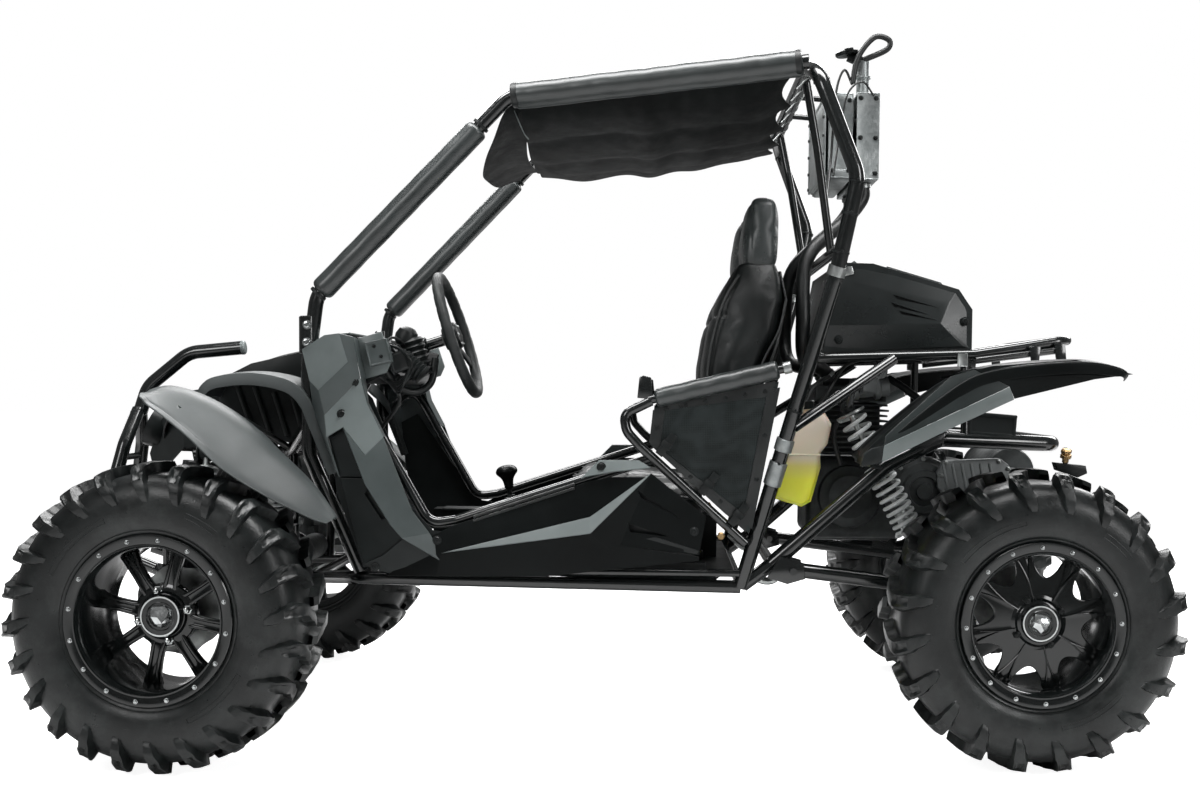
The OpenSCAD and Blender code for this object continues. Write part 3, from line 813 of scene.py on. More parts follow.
def rimShell(name, rim):
    face = rim["width"] / 2 - 8
    deep = face - rim["dish"]
    profile = [(173, face - 4), (173, face + 1), (171.5, face + 2.6), (153, face + 3), (151, face + 1.5),
               (150, face - 2),
               (147, face - 5), (144, face - 20), (143, deep + 6), (146, deep - 26), (146, -face + 12),
               (150, -face + 4),
               (163, -face), (166, -face + 3), (164, -face + 7), (155, -face + 9), (152, -face + 16),
               (151, face - 12),
               (158, face - 7), (172, face - 6)]
    shell = turned(name + "_shell", profile, (0, 0, 0), (0, 1, 0), 96, ring=True)
    # raised inner lip of the ring
    lip = turned(name + "_lip", [(152.5, face + 2.6), (152.5, face + 4.4), (149.5, face + 4.4), (149.2, face - 1)],
                 (0, 0, 0), (0, 1, 0), 96, ring=True)
    return face, [shell, lip]


def hubPlate(name, face, rim, reach):
    top = face - rim["dish"] + 8
    profile = [(0, top - 2), (26, top - 2), (27, top + 6), (44, top + 6), (48, top + 3), (50, top - 1),
               (reach - 8, top - 2),
               (reach - 2, top - 5), (reach, top - 12), (reach, top - 22), (0, top - 22)]
    return turned(name + "_hub", profile, (0, 0, 0), (0, 1, 0), 64)


def frontWheelRim(name, rim):
    face, pieces = rimShell(name, rim)
    pieces.append(hubPlate(name, face, rim, 66))
    spoke = rounded(spokeModel(name + "_spoke", rim, face), 1.6, 2, 30)
    turns = [Matrix.Rotation(radians(-15 + 45 * k), 4, "Y") for k in range(rim["spokes"])]
    pieces.append(repeated(name + "_spokes", spoke, turns))
    return face, smooth(joined(name, pieces), 40)


# a disc with round-bottomed windows along its edge
def rearWheelRim(name, rim):
    face, pieces = rimShell(name, rim)
    top = face - rim["dish"] + 2
    count, columns = rim["spokes"], 18
    halfWindow, windowEdge = 14.5, 144

    def edgeAt(angle):
        away = abs((angle + 22.5) % 45 - 22.5)
        if away >= halfWindow:
            return windowEdge
        return 142 - 47 * sqrt(1 - (away / halfWindow) ** 2)

    def place(u, v):
        angle = u * 360
        inner, outer = 40, edgeAt(angle)
        reach = inner + (outer - inner) * v
        lift = 7 - 13 * (reach / windowEdge) ** 2
        away = abs((angle + 22.5) % 45 - 22.5)
        crease = max(0.0, 1 - (22.5 - away) / 4) * 3.0
        return onWheel(reach, top + lift + crease * v, radians(angle))

    disc = outwards(skin(name + "_disc", count * columns, 9, place, closed=True))
    pieces.append(rounded(thickened(facing(disc, (0, 1, 0)), 12), 1.6, 2, 50))
    pieces.append(hubPlate(name, face, {"dish": rim["dish"] - 4}, 60))
    # forked ribs down the spokes
    ribs = []
    for k in range(count):
        for lean, start, end in ((0, 48, 84), (5.5, 80, 136), (-5.5, 80, 136)):
            middle = radians(22.5 + 45 * k)
            path = []
            for j in range(5):
                reach = start + (end - start) * j / 4
                a = middle + radians(lean * (j / 4))
                share = reach / windowEdge
                path.append(onWheel(reach, top + 8.2 - 13 * share ** 2 + 3 * share, a))
            ribs.append(pipe(name + "_rib", path, 1.5, sides=8))
    pieces += ribs
    return face, smooth(joined(name, pieces), 40)


def ringBolts(name, face):
    count = 16
    spots = [(onWheel(162, face + 3.4, tau * (k + 0.5) / count), (0, 1, 0)) for k in range(count)]
    return boltsAt(name, spots, radius=3.6, height=3.2)


def capModel(name, face, rim, size):
    top = face - rim["dish"] + 12
    cup = [(0, top + 9), (size * 0.62, top + 9), (size * 0.68, top + 12), (size * 0.95, top + 12), (size, top + 9),
           (size * 1.02, top - 2), (0, top - 2)]
    return turned(name, cup, (0, 0, 0), (0, 1, 0), 48)


# thin bright ring and a plain faceted middle
def capTrim(name, face, rim, size):
    top = face - rim["dish"] + 12
    ring = turned(name + "_ring", [(size * 0.98, top + 10), (size * 0.93, top + 14), (size * 0.86, top + 14),
                                   (size * 0.84, top + 10)],
                  (0, 0, 0), (0, 1, 0), 64, ring=True)
    nothingPicked()
    bpy.ops.mesh.primitive_ico_sphere_add(subdivisions=2, radius=size * 0.00058, location=(0, (top + 10) / 1000, 0),
                                          scale=(1, 0.5, 1))
    gem = settled(named(name + "_gem"))
    draw = random.Random(7)
    for point in gem.data.vertices:
        point.co += Vector([draw.uniform(-1, 1) for _ in range(3)]) * 0.0021
    return smooth(joined(name, [ring, gem]), 12)


def hubNuts(name, face, rim, first):
    top, reach = face - rim["dish"] + 9, 52
    spots = [(onWheel(reach, top, radians(first + 90 * k)), (0, 1, 0)) for k in range(4)]
    return boltsAt(name, spots, radius=7.5, height=11, hexed=True)


def brakeDisc(name, out):
    bore, edge = 40, 93

    def place(u, v):
        a = u * tau
        wave = 3.5 * sin(8 * a)
        return onWheel(bore + (edge + wave - bore) * v, out, a)

    disc = outwards(skin(name, 96, 4, place, closed=True))
    return smooth(rounded(thickened(disc, 4, 0), 0.6, 1, 50), 35)


# how each pair stands: pivot and distance out from it in metres, toe in degrees, then sizes in millimetres
wheelPlaces = {
    "front": {"pivot": (0.88, 0.5, 0.316), "out": 0.11, "toe": -5, "cap": 44, "firstNut": 10, "disc": -54},
    "rear": {"pivot": (-0.916, 0.52, 0.318), "out": 0.0, "toe": 0, "cap": 40, "firstNut": 38, "disc": -116},
}
wheelTurns = {"front_left": 4, "front_right": 17, "rear_left": -9, "rear_right": 11}  # degrees


def wheelSet(axle, side):
    front, look = axle == "front", wheelPlaces[axle]
    tyre, rim = (frontTyre, frontRim) if front else (rearTyre, rearRim)
    label = f"{axle}_{'left' if side > 0 else 'right'}"
    face, wheel = (frontWheelRim if front else rearWheelRim)(f"wheel_rim_{label}", rim)
    pieces = [
        (tyreModel(f"tyre_tread_{label}", tyre), tyreRubber, "tyre_rubber", f"tyre_{label}"),
        (wheel, glossRim, "gloss_rim", f"rim_{label}"),
        (ringBolts(f"ring_bolts_{label}", face), chrome, "zinc_steel", None),
        (capModel(f"hub_cap_{label}", face, rim, look["cap"]), glossRim, "gloss_rim", None),
        (capTrim(f"cap_trim_{label}", face, rim, look["cap"]), chrome, "zinc_steel", None),
        (hubNuts(f"hub_nuts_{label}", face, rim, look["firstNut"]), chrome if front else satinSteel, "zinc_steel",
         None),
        (brakeDisc(f"brake_disc_{label}", look["disc"]), zincSteel, "zinc_steel", None),
    ]
    x, y, z = look["pivot"]
    toe, spin = Matrix.Rotation(radians(look["toe"]), 4, "Z"), Matrix.Rotation(radians(wheelTurns[label]), 4, "Y")
    stand = Matrix.Translation((x, side * y, z)) @ toe @ Matrix.Translation((0, side * look["out"], 0))
    place = stand @ Matrix.Scale(side, 4, (0, 1, 0)) @ spin
    for piece, material, slot, node in pieces:
        piece.data.transform(place)
        if side < 0:
            piece.data.flip_normals()
        fitted(piece, material, slot, *([node] if node else []), body=f"wheel_{label}")


for axle in ("front", "rear"):
    for side in (1, -1):
        wheelSet(axle, side)
print("wheels made")

# --- cage and frame tubes
cage = {"radius": 16, "bend": 70, "weldBead": 3.2}
cagePillar = [at(345, 372, 380), at(236, 412, 640), at(232, 416, 838), at(249, 416, 988), at(662, 412, 1434),
              at(1312, 512, 1502)]
hoopLeg = [at(1192, 362, 352), at(1377, 500, 1036), at(1420, 528, 1256), at(1334, 514, 1476), at(1318, 440, 1506)]


def weldBead(name, centre, axis, radius):
    return turned(name, [(radius - 1, -3), (radius + cage["weldBead"] * 0.7, -1.4), (radius + cage["weldBead"], 0),
                         (radius + cage["weldBead"] * 0.6, 1.6), (radius - 1, 3)], centre, axis, 24)


def rollCage():
    near = pipe("roll_cage_side", cagePillar, cage["radius"], cage["bend"])
    # bolted sleeve joint above the cowl, with a bright bolt through it
    foot = at(231, 416, 900)
    collar = turned("cage_joint", [(16, -42), (19.5, -40), (19.5, 40), (16, 42)], foot, (0.02, 0, 1), 28)
    return smooth(bothSides("roll_cage_tubes", near, collar), 40)


fitted(rollCage(), glossTube, "gloss_tube", "roll_cage")
fitted(boltsAt("cage_joint_bolts", sideSpots([(233, 435.5, 884), (233, 435.5, 922)]), 8, 6), chrome, "zinc_steel")

hoopPath = bothWays(hoopLeg)
hoop = pipe("rear_hoop_tube", hoopPath, cage["radius"] + 1, 85)
hoopBars = [crossBar("hoop_bar", 1391, 509, 1110, 12.5),
            crossBar("hoop_low_bar", 1224, 386, 470, 12.5)]
for s in (1, -1):
    hoopBars.append(weldBead("hoop_bead", at(1391, s * 492, 1110), (0, 1, 0), 12.5))
    # the inner tube that braces the hoop from the seat bar to the roof
    hoopBars.append(pipe("hoop_brace", [at(1391, s * 300, 1110), at(1352, s * 330, 1350), at(1322, s * 345, 1500)],
                         10, 60))
fitted(joined("rear_hoop_tubes", [hoop] + hoopBars), glossTube, "gloss_tube", "rear_hoop", angle=40)

# clamps and cable ties round the near and far legs of the hoop
tieRings = []
for s in (1, -1):
    for back, out, up, lean in ((1418, 527, 1246, 0.2), (1404, 518, 1178, 0.18), (1388, 508, 1096, 0.18),
                                (1340, 508, 1462, -0.35),
                                (1300, 442, 752, 0.26), (1268, 418, 634, 0.26)):
        ring = turned("cable_tie", [(17.4, -2.4), (19, -2.4), (19, 2.4), (17.4, 2.4)], at(back, s * out, up),
                      (-lean, s * 0.18, 1), 20, ring=True)
        knot = casing("tie_knot", at(back, s * (out + 19), up), (6, 6, 6), 1)
        tieRings += [ring, knot]
fitted(joined("cable_ties", tieRings), satinSteel, "black_plastic", angle=40)
clampRings = [turned("hoop_clamp", [(17.2, -11), (20.5, -11), (20.5, 11), (17.2, 11)], at(1380, s * 503, 1055),
                     (-0.27, s * 0.2, 1),
                     28, ring=True) for s in (1, -1)]
clampRings += [casing("clamp_lug", at(1380 + 24, s * 503, 1055), (22, 10, 18), 2, 0, (0, 15, 0)) for s in (1, -1)]
fitted(joined("hoop_clamps", clampRings), zincSteel, "zinc_steel", angle=40)

chassisRails = {"radius": 15, "door": 12.5}


def chassisTubes():
    r = chassisRails["radius"]
    lower = [at(1192, 362, 352), at(330, 362, 363), at(200, 190, 340), at(-190, 110, 340), at(-280, 95, 372)]
    upper = [at(232, 416, 700), at(150, 215, 640), at(-170, 130, 560), at(-290, 95, 470)]
    door = [at(240, 412, 705), at(322, 405, 792), at(500, 405, 488), at(560, 405, 497), at(985, 412, 640)]
    near = [pipe("lower_rail", lower, r, 60), pipe("upper_rail", upper, r, 50),
            pipe("door_tube", door, chassisRails["door"], 42, 20),
            # the second, thinner rail just above the lower one
            pipe("step_rail", [at(400, 376, 384), at(1188, 374, 384)], 8.5),
            pipe("nose_post", [at(150, 213, 632), at(150, 175, 345)], 11),
            pipe("nose_brace", [at(-170, 129, 552), at(-170, 112, 340)], 11),
            pipe("nose_slant", [at(150, 178, 350), at(-168, 128, 548)], 9),
            pipe("shock_bolt", [at(-12, 245, 630), at(-68, 245, 630)], 8)]
    for back in (-14, -57):
        nothingPicked()
        outline = ((150, 560), (185, 590), (232, 655), (262, 650), (265, 612), (190, 555))
        bpy.ops.mesh.primitive_circle_add(vertices=len(outline), fill_type="NGON")
        bracket = named("shock_bracket")
        for point, (out, up) in zip(bracket.data.vertices, outline):
            point.co = at(back, out, up)
        near.append(rounded(thickened(outwards(bracket), 5, 0), 1.2))
    both = [bothSides("chassis_side", *near)]
    for spot in ((1190, 362, 358), (760, 362, 357), (330, 362, 358), (200, 190, 340), (-190, 110, 340),
                 (150, 215, 640), (-170, 130, 560)):
        both.append(crossBar("cross_rail", *spot, 12))
    return smooth(joined("chassis_tubes", both), 40)


fitted(chassisTubes(), glossTube, "gloss_tube", "chassis_frame")

# shallow tray under the floor, seen below the sill
tray = plate("belly_tray", [(420, 372), (1150, 372), (1120, 348), (930, 346), (760, 352), (470, 356)], 330, -330, 2)
fitted(tray, darkGrey, "black_plastic", angle=30)


# --- front bumper
bumper = {"bar": 17, "leg": 16, "bend": 75}


def frontBumper():
    top = [at(-281, 0, 716), at(-262, 0, 780), at(-163, 0, 865), at(-30, 0, 880)]
    parts = [pipe("bumper_bar", top, bumper["bar"], bumper["bend"], 24)]
    leg = [at(-283, 6, 722), at(-296, 60, 640), at(-324, 95, 480), at(-328, 95, 455), at(-290, 95, 400)]
    legs = [pipe("bumper_leg", leg, bumper["leg"], 55, 20),
            weldBead("bumper_bead", at(-283, 8, 714), (-0.15, 0.6, -1), 16)]
    # folded bracket in front of the leg
    legs.append(plate("bumper_bracket", [(-305, 566), (-334, 556), (-346, 520), (-345, 474), (-326, 456),
                                         (-312, 500)], 114, 106, 1.2))
    legs.append(plate("bumper_bracket", [(-300, 520), (-318, 516), (-322, 462), (-306, 458)], 82, 76, 1.2))
    parts.append(bothSides("bumper_legs", *legs))
    parts.append(crossBar("bumper_brace", -302, 62, 606, 8))
    parts.append(crossBar("bumper_low_brace", -324, 92, 500, 9))
    return smooth(joined("front_bumper_tubes", parts), 40)


fitted(frontBumper(), glossTube, "gloss_tube", "front_bumper")
endCap = turned("bumper_end_cap", [(0, 4.5), (12, 4.5), (15.5, 3.2), (17.5, 0.5), (17.4, -5), (0, -5)],
                at(-29, 0, 880), (-1, 0, 0.11), 36)
fitted(endCap, greyPlastic, "grey_plastic", angle=35)


# --- rear frame and rack
def rearFrame():
    low = [at(1262, 352, 403), at(1516, 362, 630), at(1640, 345, 692), at(1905, 292, 683), at(1920, 262, 683)]
    run = bothWays(low)
    parts = [pipe("rear_loop", run, 18, 60, 24),
             crossBar("frame_cross", 1262, 352, 403, 13),
             crossBar("frame_cross", 1640, 345, 692, 12)]
    near = [pipe("frame_foot", [at(1196, 361, 355), at(1262, 352, 403)], 16),
            pipe("top_stay", [at(1300, 440, 716), at(1535, 335, 872)], 12.5, 0, 20),
            pipe("shock_hanger", [at(1435, 380, 803), at(1435, 324, 762)], 9),
            pipe("shock_pin", [at(1435, 285, 759), at(1435, 332, 759)], 8),
            pipe("pivot_pin", [at(1308, 300, 392), at(1308, 400, 392)], 8),
            pipe("rack_post", [at(1700, 336, 690), at(1700, 318, 888)], 10)]
    # gusset that closes the corner of the loop
    near.append(plate("loop_gusset", [(1476, 598), (1522, 652), (1600, 700), (1650, 706), (1644, 676),
                                      (1560, 636)], 368, 340, 3))
    for out in (384, 320):
        near.append(plate("pivot_ear", [(1250, 376), (1280, 424), (1332, 410), (1336, 374), (1296, 362)], out,
                          out - 6, 1.2))
    parts.append(bothSides("rear_frame_sides", *near))
    parts.append(plate("tow_plate", [(1920, 687), (1990, 687), (1990, 679), (1920, 679)], 35, -35, 2))
    return smooth(joined("rear_frame_tubes", parts), 40)


fitted(rearFrame(), glossTube, "gloss_tube", "rear_frame")


def rearRack():
    rail = [at(1352, 318, 870), at(1722, 318, 886), at(1930, 300, 921), at(1950, 268, 924)]
    parts = [pipe("rack_loop", bothWays(rail), 11.5, 45, 20),
             crossBar("rack_bar", 1722, 318, 886, 10)]
    near = [pipe("rack_lower_bar", [at(1722, 330, 872), at(1925, 306, 900)], 8.5),
            plate("rack_foot", [(1846, 906), (1872, 906), (1868, 862), (1852, 862)], 330, 324, 1.2),
            plate("rack_foot", [(1906, 914), (1930, 914), (1934, 876), (1914, 862)], 322, 312, 1.2)]
    for back, up in ((1865, 905), (1765, 893)):
        outline = [(back - 25, up), (back + 25, up), (back + 25, up + 5), (back - 25, up + 5)]
        near.append(plate("rack_tab", outline, 311, 275, 1))
    parts.append(bothSides("rack_sides", *near))
    return smooth(joined("rear_rack_tubes", parts), 40)


fitted(rearRack(), glossTube, "gloss_tube", "rear_rack")
rackHoles = [turned("tab_ring", [(4.6, -0.6), (8.5, -0.6), (8.5, 0.8), (4.6, 0.8)], at(back, s * 288, up),
                    (0, 0, 1), 24, ring=True)
             for s in (1, -1) for back, up in ((1865, 910.6), (1765, 898.6))]
fitted(joined("rack_tab_washers", rackHoles), zincSteel, "zinc_steel", angle=40)
print("tubes made")


# --- foam pads on the pillars
pads = {"radius": 26, "start": 8, "end": 512, "cap": 11}


def pillarPad():
    low, high = cagePillar[3], cagePillar[4]
    along = (high - low).normalized()
    length = pads["end"] - pads["start"]
    draw = random.Random(3)
    folds = [(draw.uniform(0.02, 0.98), draw.uniform(0, 6.28), draw.uniform(0.1, 0.4)) for _ in range(18)]

    def radiusAt(angle, v):
        fromEnd = min(v, 1 - v) * length
        radius = pads["radius"] - pads["cap"] * max(0, 1 - fromEnd / 9) ** 2
        # slack in the cover and the laced seam along the inner side
        for place0, angle0, size in folds:
            d = abs(v - place0) * 34
            radius -= size * max(0, 1 - d) * max(0, cos(angle - angle0)) * 0.8
        radius -= 3.0 * max(0, 1 - abs(((angle - 4.1 + pi) % (tau)) - pi) / 0.12)
        return radius + 0.25 * sin(v * 38 + 1.3 * sin(angle * 2))

    start, end = (low + along * pads[k] / 1000 for k in ("start", "end"))
    return paddedRoll("pillar_pad", start, end, (0, 1, 0), 36, 74, radiusAt)


pad = bothSides("pillar_pad_covers", pillarPad())
fitted(pad, sleeveCloth, "foam_pad", "pillar_pads", angle=60)
padRings = []
for low, high in ((cagePillar[3], cagePillar[4]), (mirrored(cagePillar[3]), mirrored(cagePillar[4]))):
    along = (high - low).normalized()
    for reach in (0.004, 0.517):
        padRings.append(turned("pad_collar", [(16.5, -4), (19.5, -3.5), (20, 0), (19.5, 3.5), (16.5, 4)],
                               low + along * reach, along, 28))
fitted(joined("pad_collars", padRings), satinSteel, "black_plastic", angle=40)


# --- roof: a cloth slung between the rails, with a padded sleeve round each
roof = {"front": 688, "rear": 1292, "sag": 74, "sleeve": 26.5}
clothThick = 2.2


def railAt(back, s=1):
    a, b = cagePillar[4], cagePillar[5]
    share = ((frontAxle - back) / 1000 - a.x) / (b.x - a.x)
    p = a.lerp(b, share)
    return Vector((p.x, p.y * s, p.z))


def roofSheetShape():
    draw = random.Random(11)
    ridges = [(draw.uniform(0.05, 0.95), draw.uniform(-0.5, 0.5), draw.uniform(0.4, 1.0)) for _ in range(15)]

    def place(u, v):
        back = roof["front"] + (roof["rear"] - roof["front"]) * u
        near, far = railAt(back, 1), railAt(back, -1)
        # the rear edge is scalloped between its hooks
        scallop = 30 * abs(sin(v * pi * 6)) * max(0, (u - 0.9) / 0.1)
        p = near.lerp(far, v)
        p.x += scallop / 1000
        droop = sin(pi * v) ** 0.62
        sag = roof["sag"] * droop * (1.0 + 0.22 * sin(u * 3.1 + 0.4)) + 14
        # long folds that run from the corners, and small puckers along the rails
        fold = 0
        for u0, lean, size in ridges:
            d = (u - u0 - lean * (v - 0.5) * 0.6) * 15
            fold += size * exp(-d * d) * 5.5 * droop
        # the cloth hangs in five bands between seams that run with the rails
        fold += 11 * abs(sin(pi * (v * 5 + 0.12 * sin(u * 5)))) ** 0.7 * (0.5 + 0.5 * droop)
        pucker = 2.2 * sin(u * 74) * (exp(-v * 16) + exp(-(1 - v) * 16))
        p.z -= (sag + fold + pucker - 6 * max(0, (u - 0.85) / 0.15)) / 1000
        return p

    piece = facing(skin("roof_cloth", 110, 56, place), (0, 0, 1))
    return smooth(thickened(piece, clothThick, 0), 60)


roofSheet = roofSheetShape()
fitted(roofSheet, roofCloth, "canopy_cloth", "roof_canopy")


# front flap that hangs under the leading edge
def roofFlap():
    def place(u, v):
        near, far = railAt(690, 1), railAt(690, -1)
        p = near.lerp(far, 0.03 + 0.94 * u)
        droop = sin(pi * u) ** 0.7
        hang = 42 * v * (0.5 + 0.5 * droop) - 10 * sin(pi * v) + 3 * sin(u * 22) * v
        p.z -= (16 + roof["sag"] * droop * 1.05 + hang) / 1000
        p.x += (8 + 112 * v * (0.35 + 0.65 * droop) - 7 * sin(u * 9 + 1)) / 1000
        return p
    return smooth(thickened(skin("roof_flap", 70, 10, place), clothThick, 0), 60)


flap = roofFlap()
fitted(flap, roofCloth, "canopy_cloth")


sleeveEnds = (672, 1300)


def roofSleeve():
    draw = random.Random(5)
    folds = [(draw.uniform(0.0, 1.0), draw.uniform(0, 6.28), draw.uniform(0.2, 0.7)) for _ in range(34)]

    def radiusAt(angle, v):
        fromEnd = min(v, 1 - v) * (sleeveEnds[1] - sleeveEnds[0])
        radius = roof["sleeve"] - 8 * max(0, 1 - fromEnd / 7) ** 2
        for v0, a0, size in folds:
            d = abs(v - v0 - 0.012 * sin(angle - a0)) * 46
            radius -= size * max(0, 1 - d) * max(0, cos(angle - a0))
        radius += 0.5 * sin(v * 21 + angle) + 0.25 * sin(v * 60 + 2 * angle)
        # the seam underneath, where the roof cloth is sewn on
        return radius + exp(-((angle - 4.71) / 0.25) ** 2) * 7

    return paddedRoll("roof_sleeve", railAt(sleeveEnds[0]), railAt(sleeveEnds[1]), (0, 0, 1), 36, 96, radiusAt,
                      turnOver=-1)


sleeves = bothSides("roof_sleeves", roofSleeve())
fitted(sleeves, sleeveCloth, "canopy_cloth", angle=60)

# stitched end bands of the sleeves, and wire hooks along the rear edge
bands = []
for s in (1, -1):
    for back in (676, 1290):
        c = railAt(back, s)
        along = (railAt(sleeveEnds[1], s) - railAt(sleeveEnds[0], s)).normalized()
        bands.append(turned("sleeve_band", [(25.5, -7), (27.6, -6), (28.2, 0), (27.6, 6), (25.5, 7)], c, along, 36))
fitted(joined("sleeve_bands", bands), padCloth, "canopy_cloth", angle=40)
hooks = []
for k in range(7):
    out = 400 - 133 * k
    hook = [(1296, out, 1466), (1306, out, 1476), (1318, out + 3, 1489), (1332, out + 5, 1496),
            (1336, out + 6, 1512), (1324, out + 7, 1527), (1308, out + 8, 1521)]
    hooks.append(pipe("roof_hook", route(hook, 4), 1.7, sides=8))
fitted(joined("roof_hooks", hooks), zincSteel, "zinc_steel", angle=40)
strapLine = [at(668, 366, 1412), at(676, 362, 1392), at(690, 356, 1362), at(700, 352, 1350)]


def strapAlong(name, points, width):
    rings = []
    for i, p in enumerate(points):
        ahead = (points[min(i + 1, len(points) - 1)] - points[max(i - 1, 0)]).normalized()
        across = Vector((0, 1, 0)) if abs(ahead.y) < 0.8 else Vector((1, 0, 0))
        across = (across - ahead * across.dot(ahead)).normalized()
        normal = ahead.cross(across)
        w, t = across * width / 2000, normal / 1000
        rings.append([p + w + t, p - w + t, p - w - t, p + w - t])
    return loft(name, rings)


fitted(strapAlong("roof_strap", smoothPath(strapLine, 4), 22), greyPlastic, "canopy_cloth", angle=30)
print("pads and roof made")

# --- body panels
# a panel folded out of flat facets, each a list of (back, out, up) corners
def folded(name, facets, thick=4, edge=1.2, outside=(0, 1, 0)):
    parts = []
    for corners in facets:
        nothingPicked()
        bpy.ops.mesh.primitive_circle_add(vertices=len(corners), fill_type="NGON")
        part = named(name)
        for point, corner in zip(part.data.vertices, corners):
            point.co = at(*corner)
        parts.append(part)
    piece = joined(name, parts)
    weld(piece, 0.0001)
    facing(outwards(piece), outside)
    return rounded(thickened(piece, thick), edge, 2, 12)


# a panel with a curved section: section(u, v) gives (out, lift) and the line gives (back, up)
def swept(name, line, section, across, along, thick=4, edge=1.0):
    path = smoothPath([Vector((b, 0, z)) for b, z in line], along)

    def place(u, v):
        p = alongPath(path, v)
        q = alongPath(path, min(1, v + 0.01)) - alongPath(path, max(0, v - 0.01))
        up = Vector((q.z, 0, -q.x)).normalized() * (-1 if q.x > 0 else 1)
        out, lift = section(u, v)
        return at(p.x + up.x * lift, out, p.z + up.z * lift)

    piece = thickened(facing(outwards(skin(name, across, len(path) - 1, place)), (0, 0, 1)), thick)
    return rounded(piece, edge, 2, 40) if edge else piece


def cutBy(piece, cutters):
    tool = joined("cutter", cutters)
    addModifier(piece, "BOOLEAN", object=tool, operation="DIFFERENCE", solver="EXACT")
    dropped(tool)
    return piece


def eased(x, low, high):
    t = min(1, max(0, (x - low) / (high - low)))
    return t * t * (3 - 2 * t)


hoodShape = {"line": [(196, 886), (60, 852), (-100, 775), (-175, 700), (-205, 620)], "half": 250, "crown": 26,
             "lamp": 50}
lampPlace, lampTilt = (-150, 130, 668), radians(68)
lampAxis = Vector((sin(lampTilt), 0, cos(lampTilt)))


def lampPart(name, s, profile, sides=48):
    back, out, up = lampPlace
    return turned(name, profile, at(back, s * out, up), lampAxis, sides)


def hoodPanel():
    def section(u, v):
        out = (u - 0.5) * 2
        half = hoodShape["half"] - 95 * eased(v, 0.55, 1.0)
        lift = -hoodShape["crown"] * abs(out) ** 2.6 - 3
        # two raised lines run down the middle, and a shallow scoop lies between them
        for line in (-0.36, 0.36):
            lift += 5 * max(0, 1 - abs(out - line) / 0.07)
        lift -= 4 * (1 - eased(abs(out), 0.22, 0.36))
        return out * half, lift

    top = swept("hood_top", hoodShape["line"], section, 40, 7)
    hole = [(0, -60), (hoodShape["lamp"], -60), (hoodShape["lamp"], 110), (0, 110)]
    top = cutBy(top, [lampPart("lamp_hole", s, hole, 40) for s in (1, -1)])
    wing = folded("hood_wing", [[(196, 250, 872), (60, 250, 838), (-60, 236, 776), (-40, 252, 716),
                                 (196, 258, 806)]], 4, 1.2)
    return joined("hood_panel", [top, bothSides("hood_wings", wing)])


fitted(hoodPanel(), blackPlastic, "black_plastic", "hood", angle=32)
hoodClips = [(at(back, s * out, up), (lean, s * tilt, 1)) for s in (1, -1)
             for back, out, up, lean, tilt in ((150, 190, 862, 0, 0.2), (10, 205, 812, 0.35, 0.3))]
fitted(boltsAt("hood_screws", hoodClips, 7, 3), satinSteel, "black_plastic")

lampGlass = finish("lamp_glass", (0.62, 0.65, 0.66), (0.74, 0.77, 0.78), (0.04, 0.1), cloud=25,
                   grain=("plain", 90), bump=0.3, coat=1.0)
for side, s in (("left", 1), ("right", -1)):
    bowl = lampPart("lamp_bowl_" + side, s,
                    [(0, 6), (30, 8), (44, 22), (47.5, 50), (47.5, 54), (45, 54), (44.5, 48), (40, 26), (26, 14),
                     (0, 12)])
    fitted(bowl, chrome, "lamp_glass", angle=40)
    cup = lampPart("lamp_cup_" + side, s, [(0, 3), (32, 5), (47, 20), (50, 48), (50.5, 57), (48, 57), (48.2, 50),
                                           (45, 23), (30, 7.4), (0, 5.4)])
    fitted(cup, blackPlastic, "black_plastic", angle=40)
    lens = lampPart("lamp_lens_" + side, s, [(0, 59.5), (16, 59), (31, 56.5), (44, 51), (44, 48), (30, 53),
                                             (16, 55.5), (0, 56)])
    fitted(lens, lampGlass, "lamp_glass", *(["headlights"] if s > 0 else []), angle=40)

flareShape = {"line": [(309, 604), (268, 712), (244, 768), (200, 806), (116, 822), (34, 812), (2, 792), (-12, 764)],
              "inner": 258, "outer": 438, "lip": 27}


def fenderFlares():
    def section(u, v):
        reach = min(1, u / 0.8)
        lip = max(0, (u - 0.8) / 0.2)
        inner = flareShape["inner"] + 150 * (1 - eased(v, 0.1, 0.34))
        out = inner + (flareShape["outer"] - inner) * reach + 5 * sin(lip * pi / 2)
        drop = flareShape["lip"] * lip * (0.7 + 0.3 * sin(v * pi))
        return out, 5 * sin(reach * pi) - 7 - drop

    return bothSides("fender_flares", swept("fender_flare", flareShape["line"], section, 20, 6))


# the same facets with their crests standing out more
def bulged(facets, base, share):
    return [[(back, base + (out - base) * share, up) for back, out, up in facet] for facet in facets]


# the cowl at each side: bright facets, shaded facets, and a strip that runs down beside the door tube to a point;
# the shaded facets, the back edge and the tail take a darker copy of the grey plastic as painted shade
cowlBright = [
    [(222, 434, 868), (271, 436, 900), (308, 449, 904), (329, 452, 842), (263, 444, 780), (240, 436, 800)],
    [(278, 446, 726), (351, 436, 808), (366, 434, 752), (404, 440, 680), (368, 450, 640), (319, 448, 700),
     (282, 444, 677)],
]
cowlShaded = [
    [(308, 449, 904), (335, 440, 897), (351, 436, 808), (278, 446, 726), (263, 444, 780), (329, 452, 842)],
    [(240, 436, 800), (263, 444, 780), (278, 446, 726), (282, 444, 677), (309, 441, 591), (248, 432, 732)],
]
cowlTail = [
    [(319, 448, 700), (368, 450, 640), (404, 440, 680), (467, 434, 520), (506, 434, 471), (450, 450, 462),
     (424, 449, 491), (368, 448, 577)],
    [(450, 450, 462), (506, 434, 471), (545, 433, 402)],
]
cowlBulge = 1.7
upperInset = [(284, 437, 675), (319, 441, 697), (368, 441, 592), (309, 437, 592)]
